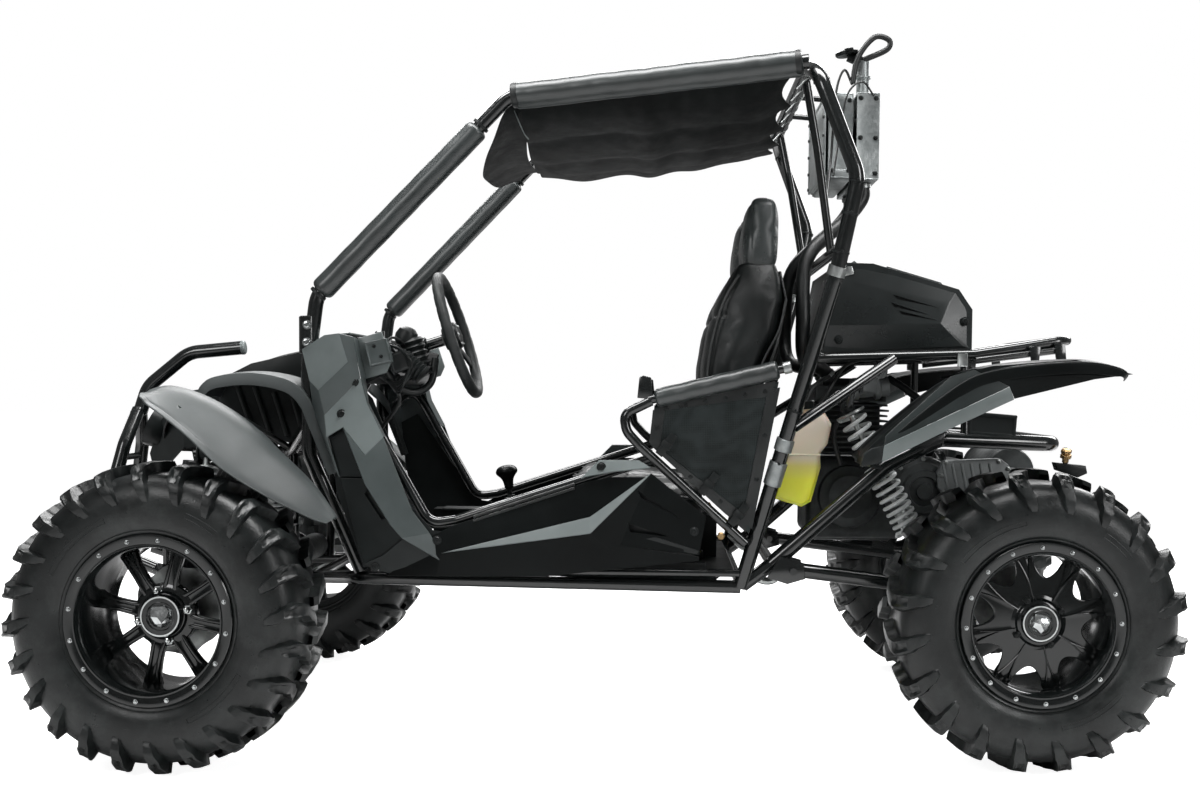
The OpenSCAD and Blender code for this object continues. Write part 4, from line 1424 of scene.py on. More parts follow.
lowerInset = [(309, 437, 589), (362, 441, 589), (372, 441, 572), (364, 441, 556), (402, 441, 500), (412, 441, 503),
              (424, 441, 490), (450, 441, 460), (408, 440, 424), (361, 434, 402)]
lowFacets = [[(361, 434, 402), (408, 445, 424), (450, 448, 460), (545, 433, 402), (430, 436, 394)],
             [(361, 434, 402), (430, 436, 394), (545, 433, 402), (420, 431, 380)]]
cowl = bothSides("cowl_sides", folded("cowl_side", bulged(cowlBright, 431, cowlBulge)))
fitted(fenderFlares(), fenderGrey, "grey_plastic", angle=20)
backEdge = [[(334, 446, 897), (351, 439, 808), (352, 386, 806), (332, 386, 894)],
            [(351, 439, 808), (366, 436, 752), (403, 445, 680), (398, 398, 680), (360, 394, 752), (350, 386, 806)]]
# the back edge, shaded facets and tail in the darker grey, as painted shade
fitted(bothSides("cowl_shades", folded("cowl_back_edge", backEdge, 2),
                 folded("cowl_shade", bulged(cowlShaded, 431, cowlBulge)),
                 folded("cowl_tail", bulged(cowlTail, 431, cowlBulge))), shadeGrey, "grey_plastic", angle=8)
top = folded("cowl_top", [[(222, 428, 866), (222, -428, 866), (252, -330, 892), (252, 330, 892)],
                          [(222, 428, 866), (252, 330, 892), (271, 428, 900)],
                          [(222, -428, 866), (271, -428, 900), (252, -330, 892)],
                          [(271, 428, 900), (252, 330, 892), (252, -330, 892), (271, -428, 900), (325, -430, 907),
                           (325, 430, 907)]],
             4, 1.2, (0, 0, 1))
fitted(joined("cowl_shell", [cowl, top]), greyPlastic, "grey_plastic", "cowl_panels", angle=8)

insets = [plate("cowl_backing", [(286, 690), (330, 714), (384, 640), (470, 520), (512, 476), (566, 470),
                                 (560, 400), (361, 394), (300, 560)], 428, 424, 0.5),
          folded("cowl_inset", [upperInset]), folded("cowl_low_inset", [lowerInset]),
          folded("cowl_low_facets", lowFacets),
          # the walls of the wheel arch and of the nose
          plate("arch_wall", [(-8, 770), (34, 806), (116, 818), (196, 800), (238, 756), (262, 700), (306, 600),
                              (230, 640), (100, 668), (-8, 700)], 262, 258, 0.8),
          folded("nose_side", [[(196, 248, 800), (-60, 240, 776), (-100, 228, 770), (-100, 222, 640),
                                (120, 236, 650)],
                               [(-100, 228, 770), (-175, 168, 698), (-204, 150, 622), (-190, 146, 560),
                                (-100, 222, 640)]])]
for i in range(5):
    # ribs and tubes inside the arch
    insets.append(pipe("arch_rib", [at(30 + i * 44, 266, 796 - i * 12), at(70 + i * 40, 268, 690 - i * 8)], 6,
                       sides=8))
fitted(bothSides("cowl_insets", *insets), darkGrey, "black_plastic", angle=14)

sillFacets = [
    [(414, 432, 376), (500, 431, 460), (532, 437, 428), (520, 433, 377)],
    [(500, 431, 460), (560, 431, 490), (846, 431, 588), (855, 440, 512), (532, 437, 428)],
    [(532, 437, 428), (857, 450, 477), (900, 437, 440), (760, 433, 379), (520, 433, 377)],
    [(846, 431, 588), (901, 434, 600), (976, 436, 601), (855, 440, 512)],
    [(857, 450, 477), (987, 440, 610), (950, 438, 520), (921, 438, 451), (900, 437, 440)],
    [(900, 437, 440), (921, 438, 451), (1096, 431, 428), (1096, 431, 418), (760, 433, 379)],
    [(987, 440, 610), (1110, 431, 516), (1096, 431, 430), (921, 438, 451), (950, 438, 520)],
]
spear = [[(532, 438, 429), (855, 441, 513), (857, 451, 478)],
         [(855, 441, 513), (976, 437, 602), (987, 441, 610), (857, 451, 478)]]
sillCap = [[(833, 431, 596), (844, 438, 601), (901, 441, 612), (987, 437, 622), (960, 431, 638), (872, 431, 637)]]


sills = folded("sill_panel", bulged(sillFacets, 429, 1.5), 3.5)
pockets = [[(958, 572), (1052, 512), (966, 556)], [(938, 500), (1030, 470), (944, 480)]]
sills = cutBy(sills, [plate("pocket", p, 480, 400, 0) for p in pockets])
fitted(bothSides("sill_sides", sills), sillPlastic, "black_plastic", "sill_panels", angle=10)
backing = [folded("sill_backing", [[(940, 426, 590), (1060, 432, 505), (1040, 420, 462), (925, 422, 462)]], 2),
           folded("sill_lip", [[(930, 439, 458), (1090, 433, 432), (1096, 433, 440), (1000, 440, 470)]], 2)]
backing += [pipe("sill_ridge", [at(600, 433, 508 - i * 9), at(820, 434, 583 - i * 9)], 3.2, sides=8)
            for i in range(2)]
fitted(bothSides("sill_backings", *backing), satinSteel, "black_plastic", angle=20)
greyBits = joined("sill_spear",
                  [folded("spear", bulged(spear, 428.5, 1.5), 3), folded("sill_cap", bulged(sillCap, 429, 1.4), 4)])
fitted(bothSides("sill_spears", greyBits), greyPlastic, "grey_plastic", angle=10)
clipPlaces = [(313, 450, 729), (522, 437, 456), (388, 438, 396), (878, 440, 622), (1084, 434, 483), (338, 442, 799)]
fitted(boltsAt("panel_clips", sideSpots(clipPlaces), 8, 3.5), satinSteel, "black_plastic")

frontFender = {"line": [(-50, 770), (-36, 777), (-12, 779), (41, 764), (105, 731), (160, 690), (201, 652),
                        (281, 580), (333, 513)], "drop": 70}


def frontFenders():
    stations = [0, 0.05, 0.12, 0.22, 0.34, 0.46, 0.56, 0.66, 0.76, 0.86, 0.885, 0.90, 0.915, 0.94, 0.97, 1.0]

    def section(u, v):
        w = stations[round(u * (len(stations) - 1))]
        tips = min(1, 0.12 + v / 0.16) ** 0.8 * (1 - 0.62 * eased(v, 0.66, 1.0))
        middle, half = 600 + 3 * eased(v, 0.5, 1.0), 26 + 76 * tips
        drop = frontFender["drop"] * sin(pi * v ** 1.6) ** 0.75
        lift = 6 * sin(min(1, w / 0.6) * pi) * (w < 0.6) - 8 * (1 - eased(w, 0.0, 0.16))
        lift -= drop * eased(w, 0.36, 1.06)
        lift -= 2.6 * max(0, 1 - abs(w - 0.90) / 0.014) * eased(v, 0.1, 0.2) * (1 - eased(v, 0.5, 0.62))
        return middle + half * (w * 2 - 1), lift

    shell = softened(swept("front_fender", frontFender["line"], section, len(stations) - 1, 6, 3.6, edge=0), 1)
    shell = cutBy(shell, [casing("slot", at(36, 672, 748), (20, 60, 8), 0, 0, (0, 38, 0))])
    return bothSides("front_fender_shells", shell)


fitted(frontFenders(), fenderGrey, "grey_plastic", "front_fenders", angle=38)
stay = pipe("fender_stay", [at(102, 570, 722), at(120, 500, 712), at(150, 222, 640)], 7, 40)
fitted(bothSides("fender_stays", stay), satinSteel, "gloss_tube")

rearFender = {"line": [(1432, 642), (1450, 684), (1597, 808), (1689, 852), (1863, 872), (1950, 862), (1985, 840)],
              "inner": 404, "outer": 652}


def rearFenders():
    def section(u, v):
        lip = max(0, (u - 0.84) / 0.16)
        ends = sqrt(max(0, 1 - (1 - min(1, (1 - v) / 0.12)) ** 2))
        width = rearFender["outer"] - rearFender["inner"]
        out = rearFender["inner"] + width * min(1, u / 0.84) * (0.82 + 0.18 * ends)
        drop = 26 * lip * (1 - 0.5 * eased(v, 0.7, 1.0))
        ridge = 4 * max(0, 1 - abs(u - 0.3) / 0.06) + 4 * max(0, 1 - abs(u - 0.62) / 0.06)
        return out, 5 * sin(min(1, u / 0.84) * pi) - 6 - drop + ridge

    return bothSides("rear_fender_shells",
                     softened(swept("rear_fender", rearFender["line"], section, 30, 5, 3.6, edge=0), 1))


fitted(rearFenders(), sillPlastic, "black_plastic", "rear_fenders", angle=38)
# the side falls from the crown to a bright strip along the lower edge
strip = folded("fender_strip",
               [[(1461, 652, 651), (1465, 657, 686), (1600, 659, 752), (1722, 657, 811), (1733, 651, 785),
                 (1600, 653, 722)]], 3)
face = folded("fender_face",
              [[(1465, 655, 687), (1468, 648, 706), (1606, 640, 834), (1650, 644, 846), (1722, 655, 812),
                (1600, 657, 753)]], 3)
fitted(bothSides("fender_faces", face), fadedPlastic, "black_plastic", angle=25)
crownSide = folded("fender_crown_side",
                   [[(1606, 640, 834), (1689, 640, 854), (1863, 640, 870), (1983, 640, 842), (1900, 648, 830),
                     (1733, 652, 787), (1722, 655, 812), (1650, 644, 846)]], 3)
fitted(bothSides("fender_crown_sides", crownSide), sillPlastic, "black_plastic", angle=25)
end = plate("fender_end", [(1418, 642), (1424, 668), (1442, 680), (1464, 686), (1460, 650)], 654, 632, 2)
fitted(bothSides("fender_strips", strip), greyPlastic, "black_plastic", angle=25)
fitted(bothSides("fender_ends", end), satinSteel, "black_plastic", angle=25)

coverShape = [(1412, 1093), (1490, 1092), (1690, 1036), (1722, 990), (1722, 898), (1376, 884)]


def engineCover():
    body = plate("engine_cover_shell", coverShape, 292, -292, 0)

    def sinkTop():
        bpy.ops.mesh.select_mode(type="FACE")
        bpy.ops.mesh.select_all(action="DESELECT")
        bpy.ops.object.mode_set(mode="OBJECT")
        for face in body.data.polygons:
            face.select = face.normal.z > 0.9 and face.center.z > 1.0
        bpy.ops.object.mode_set(mode="EDIT")
        bpy.ops.mesh.inset(thickness=0.03, use_individual=True)
        bpy.ops.mesh.inset(thickness=0.008, depth=0.008, use_individual=True)

    inEditMode(body, sinkTop)
    body = rounded(body, 8, 3, 25)
    a, b, c, d, e, f = [(back, 288, up) for back, up in coverShape]
    upperLeft, upperRight, middleRight, middleLeft, low = (1415, 300,
            1056), (1668, 301, 1006), (1645, 310, 955), (1384, 304, 948), (1702, 300, 903)
    side = folded("cover_side", [[a, b, c, upperRight, upperLeft], [upperLeft, upperRight, middleRight, middleLeft],
                                 [middleLeft, middleRight, low, f], [upperRight, c, d, middleRight],
                                 [middleRight, d, e, low], [a, upperLeft, middleLeft, f]], 5, 3)
    spikes = [[(1536, 1020), (1640, 992), (1544, 1010)], [(1530, 1002), (1622, 974), (1538, 992)],
              [(1548, 984), (1640, 962), (1556, 975)]]
    side = cutBy(side, [plate("vent", p, 330, 280, 0) for p in spikes])
    return joined("cover_shell", [body, bothSides("cover_sides", side)])


fitted(engineCover(), coverPlastic, "black_plastic", "engine_cover", angle=14)
fitted(boltsAt("cover_bolts", sideSpots([(1438, 297, 1074), (1704, 301, 962), (1412, 302, 914)]), 8, 4),
       satinSteel, "black_plastic")
print("body panels made")

# --- soft goods of the cockpit
def boxedRing(front, rear, up, half, outMiddle, power=5.0, count=44):
    ring = []
    for i in range(count):
        angle = i * tau / count
        c, s = cos(angle), sin(angle)
        cx, sy = copysign(abs(c) ** (2 / power), c), copysign(abs(s) ** (2 / power), s)
        ring.append(at((front + rear) / 2 - cx * (rear - front) / 2, outMiddle + sy * half, up))
    return ring


stuffing = {"voxel": 6, "pressure": 4.0, "frames": 20}


# stuffs a closed form by blowing it up as cloth; a point moves no further than the cap
def stuffed(piece, cap):
    addModifier(piece, "REMESH", mode="VOXEL", voxel_size=stuffing["voxel"] / 1000 * 1)
    rest = [v.co.copy() for v in piece.data.vertices]
    cloth = piece.modifiers.new("filling", "CLOTH")
    cloth.settings.use_pressure = True
    cloth.settings.uniform_pressure_force = stuffing["pressure"]
    cloth.settings.effector_weights.gravity = 0
    cloth.point_cache.frame_start, cloth.point_cache.frame_end = 1, stuffing["frames"]
    for step in range(1, stuffing["frames"] + 1):
        bpy.context.scene.frame_set(step)
    blown = piece.evaluated_get(bpy.context.evaluated_depsgraph_get())
    moved = [v.co.copy() for v in blown.data.vertices]
    piece.modifiers.remove(cloth)
    bpy.context.scene.frame_set(1)
    for v, before, after in zip(piece.data.vertices, rest, moved):
        step = after - before
        v.co = before + step * min(1, cap / 1000 / max(step.length, 1e-9))
    addModifier(piece, "SMOOTH", factor=0.5, iterations=9)
    return softened(piece, 1)


outOfReach = 99  # a distance past which a sewn line leaves the cover alone


# presses a sewn line into a soft piece: how(p) is the distance from the line in millimetres
def sewn(piece, how, depth, width=9):
    normals = [v.normal.copy() for v in piece.data.vertices]
    for v, n in zip(piece.data.vertices, normals):
        d = how(v.co)
        if d < width * 2.5:
            v.co -= n * depth / 1000 * exp(-(d / width) ** 2 * 1.6)
    return piece


# a closed form lofted through (front, rear, up, half width) rows
def boxedForm(name, rows, outMiddle, power, count=44):
    return loft(name, [boxedRing(*row, outMiddle, power, count) for row in rows])


seatShape = {"width": 350, "middle": 207, "swell": 6}


def seat(side, s):
    middle = s * seatShape["middle"]
    half = seatShape["width"] / 2 - seatShape["swell"]
    back = [(1112, 1176, 560, half), (1109, 1190, 640, half), (1107, 1206, 760, half), (1106, 1224, 850, half - 5),
            (1118, 1262, 930, half - 12),
            (1138, 1280, 1000, half - 24), (1166, 1278, 1055, half - 44), (1184, 1270, 1090, half - 60)]
    rest = stuffed(boxedForm("seat_back_" + side, back, middle, 10.0, 56), seatShape["swell"])

    def fromMiddle(p):
        return abs(p.y * 1000 - middle)

    # two sewn lines down the front, one across under the shoulders and one low down
    sewn(rest, lambda p: abs(fromMiddle(p) - 96 + (p.z - 0.8) * 40) if 1020 < backOf(p) < 1175 else outOfReach, 6)
    for height in (965, 700):
        sewn(rest, lambda p: abs(p.z * 1000 - height) if backOf(p) < 1150 and fromMiddle(p) < half
             - 14 else outOfReach, 4, 7)
    head = [(1196, 1262, 1070, 104), (1190, 1264, 1100, 110), (1193, 1266, 1150, 107), (1200, 1267, 1195, 102),
            (1205, 1265, 1226, 95), (1212, 1258, 1240, 80)]
    cushion = stuffed(boxedForm("headrest_" + side, head, middle, 8.0, 56), 5)
    sewn(cushion, lambda p: abs(backOf(p) - 1206), 1.6, 3)
    seatPad = [(798, 1104, 480, half), (790, 1110, 505, half), (786, 1112, 535, half), (790, 1110, 560, half - 3),
               (806, 1100, 570, half - 14)]
    pad = stuffed(boxedForm("seat_pad_" + side, seatPad, middle, 6), seatShape["swell"])
    for v in pad.data.vertices:
        # the front edge stands higher than the back
        v.co.z += 0.018 * eased(backOf(v.co), 1100, 800) if v.co.z > 0.52 else 0
    sewn(pad, lambda p: abs(fromMiddle(p) - 100) if p.z > 0.53 else outOfReach, 6)
    sewn(pad, lambda p: abs(backOf(p) - 930) if p.z > 0.53 else outOfReach, 4, 7)
    # the headrests take the lighter vinyl as painted light
    for soft in (rest, cushion, pad):
        fitted(soft, paintedLightHeadVinyl if soft is cushion else seatVinyl, "vinyl", angle=60)
    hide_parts("driver_seat" if s > 0 else "passenger_seat")

    # piping round the side panels, the shell behind and the runners below
    piping = []
    front = [(1112, 0, 580), (1108, 0, 760), (1110, 3, 850), (1124, 6, 930), (1146, 20, 1000), (1178, 46, 1056)]
    rear = [(1180, 0, 570), (1212, 0, 760), (1230, 3, 850), (1268, 6, 930), (1284, 20, 1000)]
    low = [(792, 0, 574), (900, 0, 568), (1000, 0, 558), (1104, 0, 548)]
    for t in (1, -1):
        for run in (front, rear, low):
            line = [(back, middle + t * (half + 4 - inset), up) for back, inset, up in run]
            piping.append(lineOf("piping", line, 3.4))
    fitted(joined("seat_piping_" + side, piping), padCloth, "vinyl")
    frameParts = [casing("runner", at(950, middle + t * 120, 392), (330, 24, 22), 3) for t in (1, -1)]
    frameParts += [plate("seat_leg", [(b, 402), (b + 8, 470), (b + 40, 470), (b + 48, 402)], middle + t * 126,
                         middle + t * 120, 1) for b in (812, 1040) for t in (1, -1)]
    frameParts.append(casing("seat_tray", at(948, middle, 474), (310, 330, 10), 3))
    shell = [(1180, 1188, 560, 160), (1212, 1220, 760, 158), (1262, 1270, 900, 150), (1284, 1291, 1000, 128),
             (1272, 1279, 1070, 84)]
    frameParts.append(boxedForm("seat_shell", shell, middle, 7, 28))
    fitted(joined("seat_frame_" + side, frameParts), satinSteel, "black_plastic", angle=35)


for side, s in (("driver", 1), ("passenger", -1)):
    seat(side, s)
print("seats made")


# --- door nets: a padded bar above, a bent tube round the front and the net between
doorNet = {"bar": [(980, 425, 770), (1290, 462, 848)], "roll": 21,
           "frame": [(985, 425, 768), (925, 428, 738), (932, 428, 700), (962, 428, 668), (1200, 405, 455)],
           "corners": [(992, 428, 752), (1264, 446, 815), (1206, 412, 478), (984, 428, 672)]}


def netRoll():
    a, b = (at(*p) for p in doorNet["bar"])
    along = (b - a).normalized()

    def radiusAt(angle, v):
        fromEnd = min(v, 1 - v) * 270
        radius = doorNet["roll"] - 5 * max(0, 1 - fromEnd / 7) ** 2
        radius -= 1.0 * max(0, 1 - abs(((v * 9) % 1) - 0.5) / 0.08) * max(0, cos(angle - 1.2))
        return radius + 0.5 * sin(v * 30 + 2 * sin(angle))

    return paddedRoll("net_roll", a + along * 0.014, b - along * 0.028, (0, 0, 1), 28, 54, radiusAt)


roll = bothSides("net_rolls", netRoll())
fitted(roll, sleeveCloth, "foam_pad", angle=60)
netTube = pipe("net_tube", [at(*p) for p in doorNet["frame"]], 11, 40, 20)
core = pipe("net_core", [at(*p) for p in doorNet["bar"]], 10)
tab = plate("net_tab", [(954, 774), (958, 820), (966, 824), (984, 820), (990, 772)], 430, 424, 2)
fitted(bothSides("net_tubes", netTube, core, tab), glossTube, "gloss_tube", "net_bars", angle=40)
collar = turned("net_collar", [(10, -9), (13.5, -8), (13.5, 8), (10, 9)], at(1281, 461, 846),
                at(*doorNet["bar"][1]) - at(*doorNet["bar"][0]), 24)
fitted(bothSides("net_collars", collar), zincSteel, "zinc_steel", angle=40)


def netPoint(u, v, lift=0.0):
    a, b, c, d = (at(*p) for p in doorNet["corners"])
    p = a.lerp(b, u).lerp(d.lerp(c, u), v)
    p.y += (5 * sin(u * pi) * sin(v * pi) + 1.2 * sin(u * 17 + v * 9) + lift) / 1000
    return p


for side, s in (("left", 1), ("right", -1)):
    def netPlace(u, v):
        p = netPoint(u, v)
        return Vector((p.x, p.y * s, p.z))
    net = facing(outwards(skin("door_net_" + side, 44, 44, netPlace)), (0, s, 0))
    net = thickened(net, 1.2, 0)
    fitted(net, netCloth, "net_mesh", *(["side_nets"] if s > 0 else []), angle=60)


def hem(name, points, width):
    strips = []
    for (u0, v0), (u1, v1) in zip(points, points[1:]):
        du, dv = (v1 - v0), -(u1 - u0)
        length = hypot(du, dv)
        du, dv = du / length * width, dv / length * width

        def place(u, v):
            return netPoint(u0 + (u1 - u0) * v + du * (u - 0.5), v0 + (v1 - v0) * v + dv * (u - 0.5), 1.4)

        strips.append(thickened(facing(outwards(skin(name, 4, 22, place)), (0, 1, 0)), 2.2, 0))
    return joined(name, strips)


border = hem("net_hem", [(0.04, 0.04), (0.97, 0.04), (0.97, 0.96), (0.04, 0.96), (0.04, 0.04)], 0.1)
fitted(bothSides("net_hems", border), seatVinyl, "vinyl", angle=50)
strapSpots = [((1000, 428, 655), (1040, 429, 690)), ((1100, 416, 565), (1130, 420, 610)),
              ((1175, 410, 500), (1190, 414, 540))]
straps = []
for a, b in strapSpots:
    middle = (at(*a) + at(*b)) / 2
    straps.append(casing("net_strap", middle + Vector((0, 0.012, 0)), (18, 3, 56), 1, 0, (0, -38, 0)))
    straps.append(casing("net_buckle", middle + Vector((0, 0.014, 0)), (24, 5, 14), 1.5, 1, (0, -38, 0)))
fitted(bothSides("net_straps", *straps), satinSteel, "black_plastic", angle=35)
eyelets = [(0.1 + i * 0.16, 0.05) for i in range(6)] + [(0.05, 0.5), (0.4, 0.95), (0.7, 0.95), (0.97, 0.35),
                                                        (0.97, 0.65)]
ringSpots = [(netPoint(u, v, 2.6), (0, 1, 0)) for u, v in eyelets]
ringSpots += [(mirrored(p), (0, -1, 0)) for p, axis in ringSpots]
fitted(boltsAt("net_eyelets", ringSpots, 4.5, 1.6), satinSteel, "black_plastic")
print("door nets made")


# --- dash, wheel, column, lever and pedals
def dash():
    body = plate("dash_body", [(332, 896), (372, 894), (394, 822), (345, 792)], 372, -372, 9, 3)
    lip = plate("dash_lip", [(328, 899), (378, 898), (382, 890), (330, 890)], 376, -376, 2)
    pod = turned("gauge_pod", [(0, 26), (34, 26), (41, 20), (42, 0), (36, -22), (0, -26)], at(388, 60, 866),
                 (-0.94, 0, 0.34), 40)
    box = casing("glove_box", at(394, -200, 856), (12, 210, 50), 4, 3, (0, -16, 0))
    return joined("dash_shell", [body, lip, pod, box])


fitted(dash(), blackPlastic, "grey_plastic", "dash_panel", angle=35)
dashEnd = plate("dash_end", [(330, 894), (386, 912), (409, 846), (398, 820), (350, 806)], 392, 384, 2)
fitted(bothSides("dash_ends", dashEnd), greyPlastic, "grey_plastic", angle=30)
box = casing("switch_box", at(383, 403, 865), (50, 24, 54), 5, 2, (0, 14, 0))
fitted(box, shadeGrey, "grey_plastic", angle=30)
fitted(boltsAt("switch_screws", [(at(374, 415, 878), (0, 1, 0)), (at(390, 415, 856), (0, 1, 0))], 3, 2),
       satinSteel, "zinc_steel")
glass = turned("gauge_glass", [(0, 27), (33, 27), (33, 29), (0, 31)], at(388, 60, 866), (-0.94, 0, 0.34), 40)
fitted(glass, glossRim, "black_plastic", angle=40)
switches = [casing("rocker", at(401 - i * 0.5, 330 - i * 40, 860), (10, 22, 14), 3, 1, (0, -16, 0))
            for i in range(4)]
fitted(joined("dash_rockers", switches), darkGrey, "black_plastic", angle=35)

columnTilt = radians(18.5)
columnAxis = Vector((-cos(columnTilt), 0, sin(columnTilt)))
columnUp = Vector((sin(columnTilt), 0, cos(columnTilt)))
columnSide = columnAxis.cross(columnUp)
columnHead = at(529, 215, 912)
wheelShape = {"radius": 141, "grip": 12.6, "spoke": 26, "spokeThick": 6}


def roundColumn(angle):
    return columnUp * cos(angle) + columnSide * sin(angle)


def steeringWheel():
    ring = [columnHead + roundColumn(i * tau / 96) * wheelShape["radius"] / 1000 for i in range(96)]
    grip = pipe("wheel_grip", ring, wheelShape["grip"], sides=24, closed=True,
                taper=lambda t: 1.0 - 0.07 * max(0, sin(t * tau * 24)) ** 3)
    spokes = []
    for turn in (0, 120, 240):
        out = roundColumn(radians(turn))
        side = columnAxis.cross(out)

        def place(u, v):
            reach = 0.016 + v * (wheelShape["radius"] - 20) / 1000
            half = (wheelShape["spoke"] / 2 * (1.25 - 0.45 * sin(v * pi))) / 1000
            edge = u * 2 - 1
            sink = 0.012 * (1 - v) + 0.003 * edge * edge
            return columnHead + out * reach + side * half * edge - columnAxis * sink
        spoke = facing(outwards(skin("spoke", 10, 16, place)), columnAxis)
        spokes.append(rounded(thickened(spoke, wheelShape["spokeThick"]), 1.5))
    fitted(grip, gripRubber, "grip_rubber", "steering_wheel", body="steering_wheel", angle=50)
    fitted(joined("wheel_spokes", spokes), satinSteel, "black_plastic", body="steering_wheel", angle=35)
    hub = turned("wheel_hub", [(0, 12), (18, 11.5), (29, 8), (33, 1), (33, -6), (28, -12), (26, -28), (0, -28)],
                 columnHead - columnAxis * 0.004, columnAxis, 40)
    fitted(hub, blackPlastic, "black_plastic", body="steering_wheel", angle=40)
    spots = [(columnHead + columnAxis * 0.004 + roundColumn(a) * 0.024, columnAxis)
             for a in (0.5, 1.55, 2.6, 3.65, 4.7, 5.75)]
    fitted(boltsAt("wheel_screws", spots, 3.6, 3), zincSteel, "zinc_steel", body="steering_wheel")


steeringWheel()
columnLow = columnHead - columnAxis * 0.19
column = [pipe("column_tube", [columnLow, columnHead - columnAxis * 0.036], 14.5, sides=24),
          turned("column_collar", [(14, -16), (19.5, -14), (20, 12), (14, 16)], columnHead - columnAxis * 0.088,
                 columnAxis, 28),
          turned("column_flange", [(14, -3), (30, -3), (31, 2), (14, 4)], columnHead - columnAxis * 0.15,
                 columnAxis, 28),
          pipe("column_shaft", [columnLow, at(116, 70, 470)], 10, sides=16)]
fitted(joined("steering_column_tubes", column), glossTube, "black_plastic", "steering_column", angle=40)
joint = [turned("joint_cup", [(0, 17), (13, 15), (20, 6), (20, -6), (13, -15), (0, -17)], columnLow, (0, 1, 0), 24),
         casing("joint_yoke", columnLow, (30, 26, 18), 3, 0, (0, 18, 0)),
         casing("joint_yoke_low", at(342, 210, 836), (24, 22, 16), 3, 0, (0, -55, 0))]
fitted(joined("column_joint", joint), zincSteel, "zinc_steel", angle=35)

lever = pipe("lever_stick", [at(640, 0, 494), at(628, 0, 560)], 5.5)
boot = turned("lever_boot", [(0, 34), (9, 33), (10, 28), (16, 26), (15, 22), (22, 19), (21, 14), (29, 10), (28, 5),
                             (34, 2), (34, 0), (0, 0)],
              at(640, 0, 492), (0.1, 0, 1), 32)
knob = turned("lever_knob", [(0, 23), (13, 22), (23, 17.5), (28, 9), (27, 1.5), (20, -4), (14, -12), (11.5, -24),
                             (11, -38), (0, -38)], at(626, 0, 576), (0.18, 0, 1), 32)
fitted(joined("shift_stick", [lever]), satinSteel, "black_plastic", "shift_lever", angle=40)
fitted(boot, gripRubber, "grip_rubber", angle=45)
fitted(softened(knob, 1), blackPlastic, "black_plastic", angle=45)

pedalParts, padParts = [], []
for out in (150, 250):
    pedalParts.append(pipe("pedal_arm", [at(320, out, 602), at(300, out, 640), at(262, out, 662)], 6.5, 25))
    pedalParts.append(casing("pedal_back", at(315, out, 594), (5, 58, 68), 1.5, 0, (0, 25, 0)))
    padParts += [casing("pedal_rib", at(321 - i * 5.4 + 2, out, 570 + i * 11.5), (5, 52, 6), 1.5, 0, (0, 25, 0))
                 for i in range(5)]
fitted(joined("pedal_set", pedalParts), zincSteel, "dark_steel", "pedals", angle=35)
fitted(joined("pedal_ribs", padParts), gripRubber, "grip_rubber", angle=35)

# the pan keeps its shape from the frame; ribs and a tunnel cap lie on it
reclothed("floor_pan", blackPlastic)
ribs = [casing("floor_rib", at(430 + i * 62, s * 190, 382.5), (18, 250, 5), 2) for i in range(6) for s in (1, -1)]
ribs.append(casing("tunnel_cap", at(800, 0, 488), (660, 66, 8), 3))
ribs += [casing("toe_rib", at(370 - i * 26, s * 190, 402 + i * 51), (6, 220, 14), 2, 0, (0, 27, 0))
         for i in range(4) for s in (1, -1)]
fitted(joined("floor_ribs", ribs), darkGrey, "black_plastic", angle=30)
# flat wires and a small reservoir behind the dash end
wires = [lineOf("wire", [(382, 372, 880), (402, 350, 900 - i * 14), (424, 320 - i * 14, 884 - i * 22),
                         (404, 296, 850 - i * 12), (386, 270, 838)], 3.2)
         for i in range(4)]
wires.append(lineOf("brake_line", [(398, 350, 800), (420, 345, 760), (380, 330, 700), (330, 300, 640)], 4))
fitted(joined("dash_wires", wires), hoseRubber, "hose_rubber")
cylinder = [turned("brake_cylinder", [(0, -34), (15, -34), (17, -30), (17, 6), (13, 8), (15, 12), (11, 15),
                                      (14, 19), (10, 22), (12, 26), (0, 28)],
                   at(400, 340, 812), (-0.8, 0, -0.5), 28),
            turned("fluid_cup", [(0, 0), (18, 0), (20, 4), (20, 30), (22, 31), (22, 38), (0, 40)],
                   at(384, 340, 828), (0, 0, 1), 28)]
fitted(joined("brake_pump", cylinder), castMetal, "dark_steel", angle=40)
# a ribbed rubber boot, a relay block and a few loops of cable fill the space behind the dash end
bellows = [(0, -46)] + [(31 if i % 2 else 25, -44 + i * 6.8) for i in range(14)] + [(0, 48)]
boots = [turned("dash_boot", bellows, at(446, 296, 856), (-0.35, 0, -1), 36),
         turned("dash_boot_low", [(r * 0.8, h * 0.7) for r, h in bellows], at(446, 345, 836), (-0.8, 0.1, -0.6),
                32)]
boots.append(turned("pump_hood", [(0, 26), (12, 24), (22, 16), (26, 2), (24, -12), (16, -20), (0, -22)],
                    at(424, 300, 902), (-0.4, 0, 1), 32))
boots.append(lineOf("return_hose", [(392, 362, 826), (412, 344, 792), (450, 322, 778), (482, 304, 800),
                                    (490, 292, 856)], 8.5, 16))
boots.append(casing("relay_block", at(424, 374, 846), (40, 26, 44), 4, 2, (0, 20, 0)))
for i in range(5):
    boots.append(lineOf("cable_loop", [(396 + i * 6, 380, 884), (430 + i * 5, 392 - i * 6, 872 - i * 9),
                                       (452 - i * 4, 384, 838 - i * 10), (420, 372, 800 - i * 6), (392, 360, 806)],
                                       2.6))
fitted(joined("dash_boots", boots), satinSteel, "hose_rubber", angle=35)
print("cockpit made")

# --- radiator, its hoses and the coolant bottle
radiatorShape = {"half": 176, "low": 1303, "high": 1509, "guard": 1386, "core": 1424, "cheeks": 1488, "fan": 1500,
                 "fins": 30, "blades": 7, "fanRadius": 92}


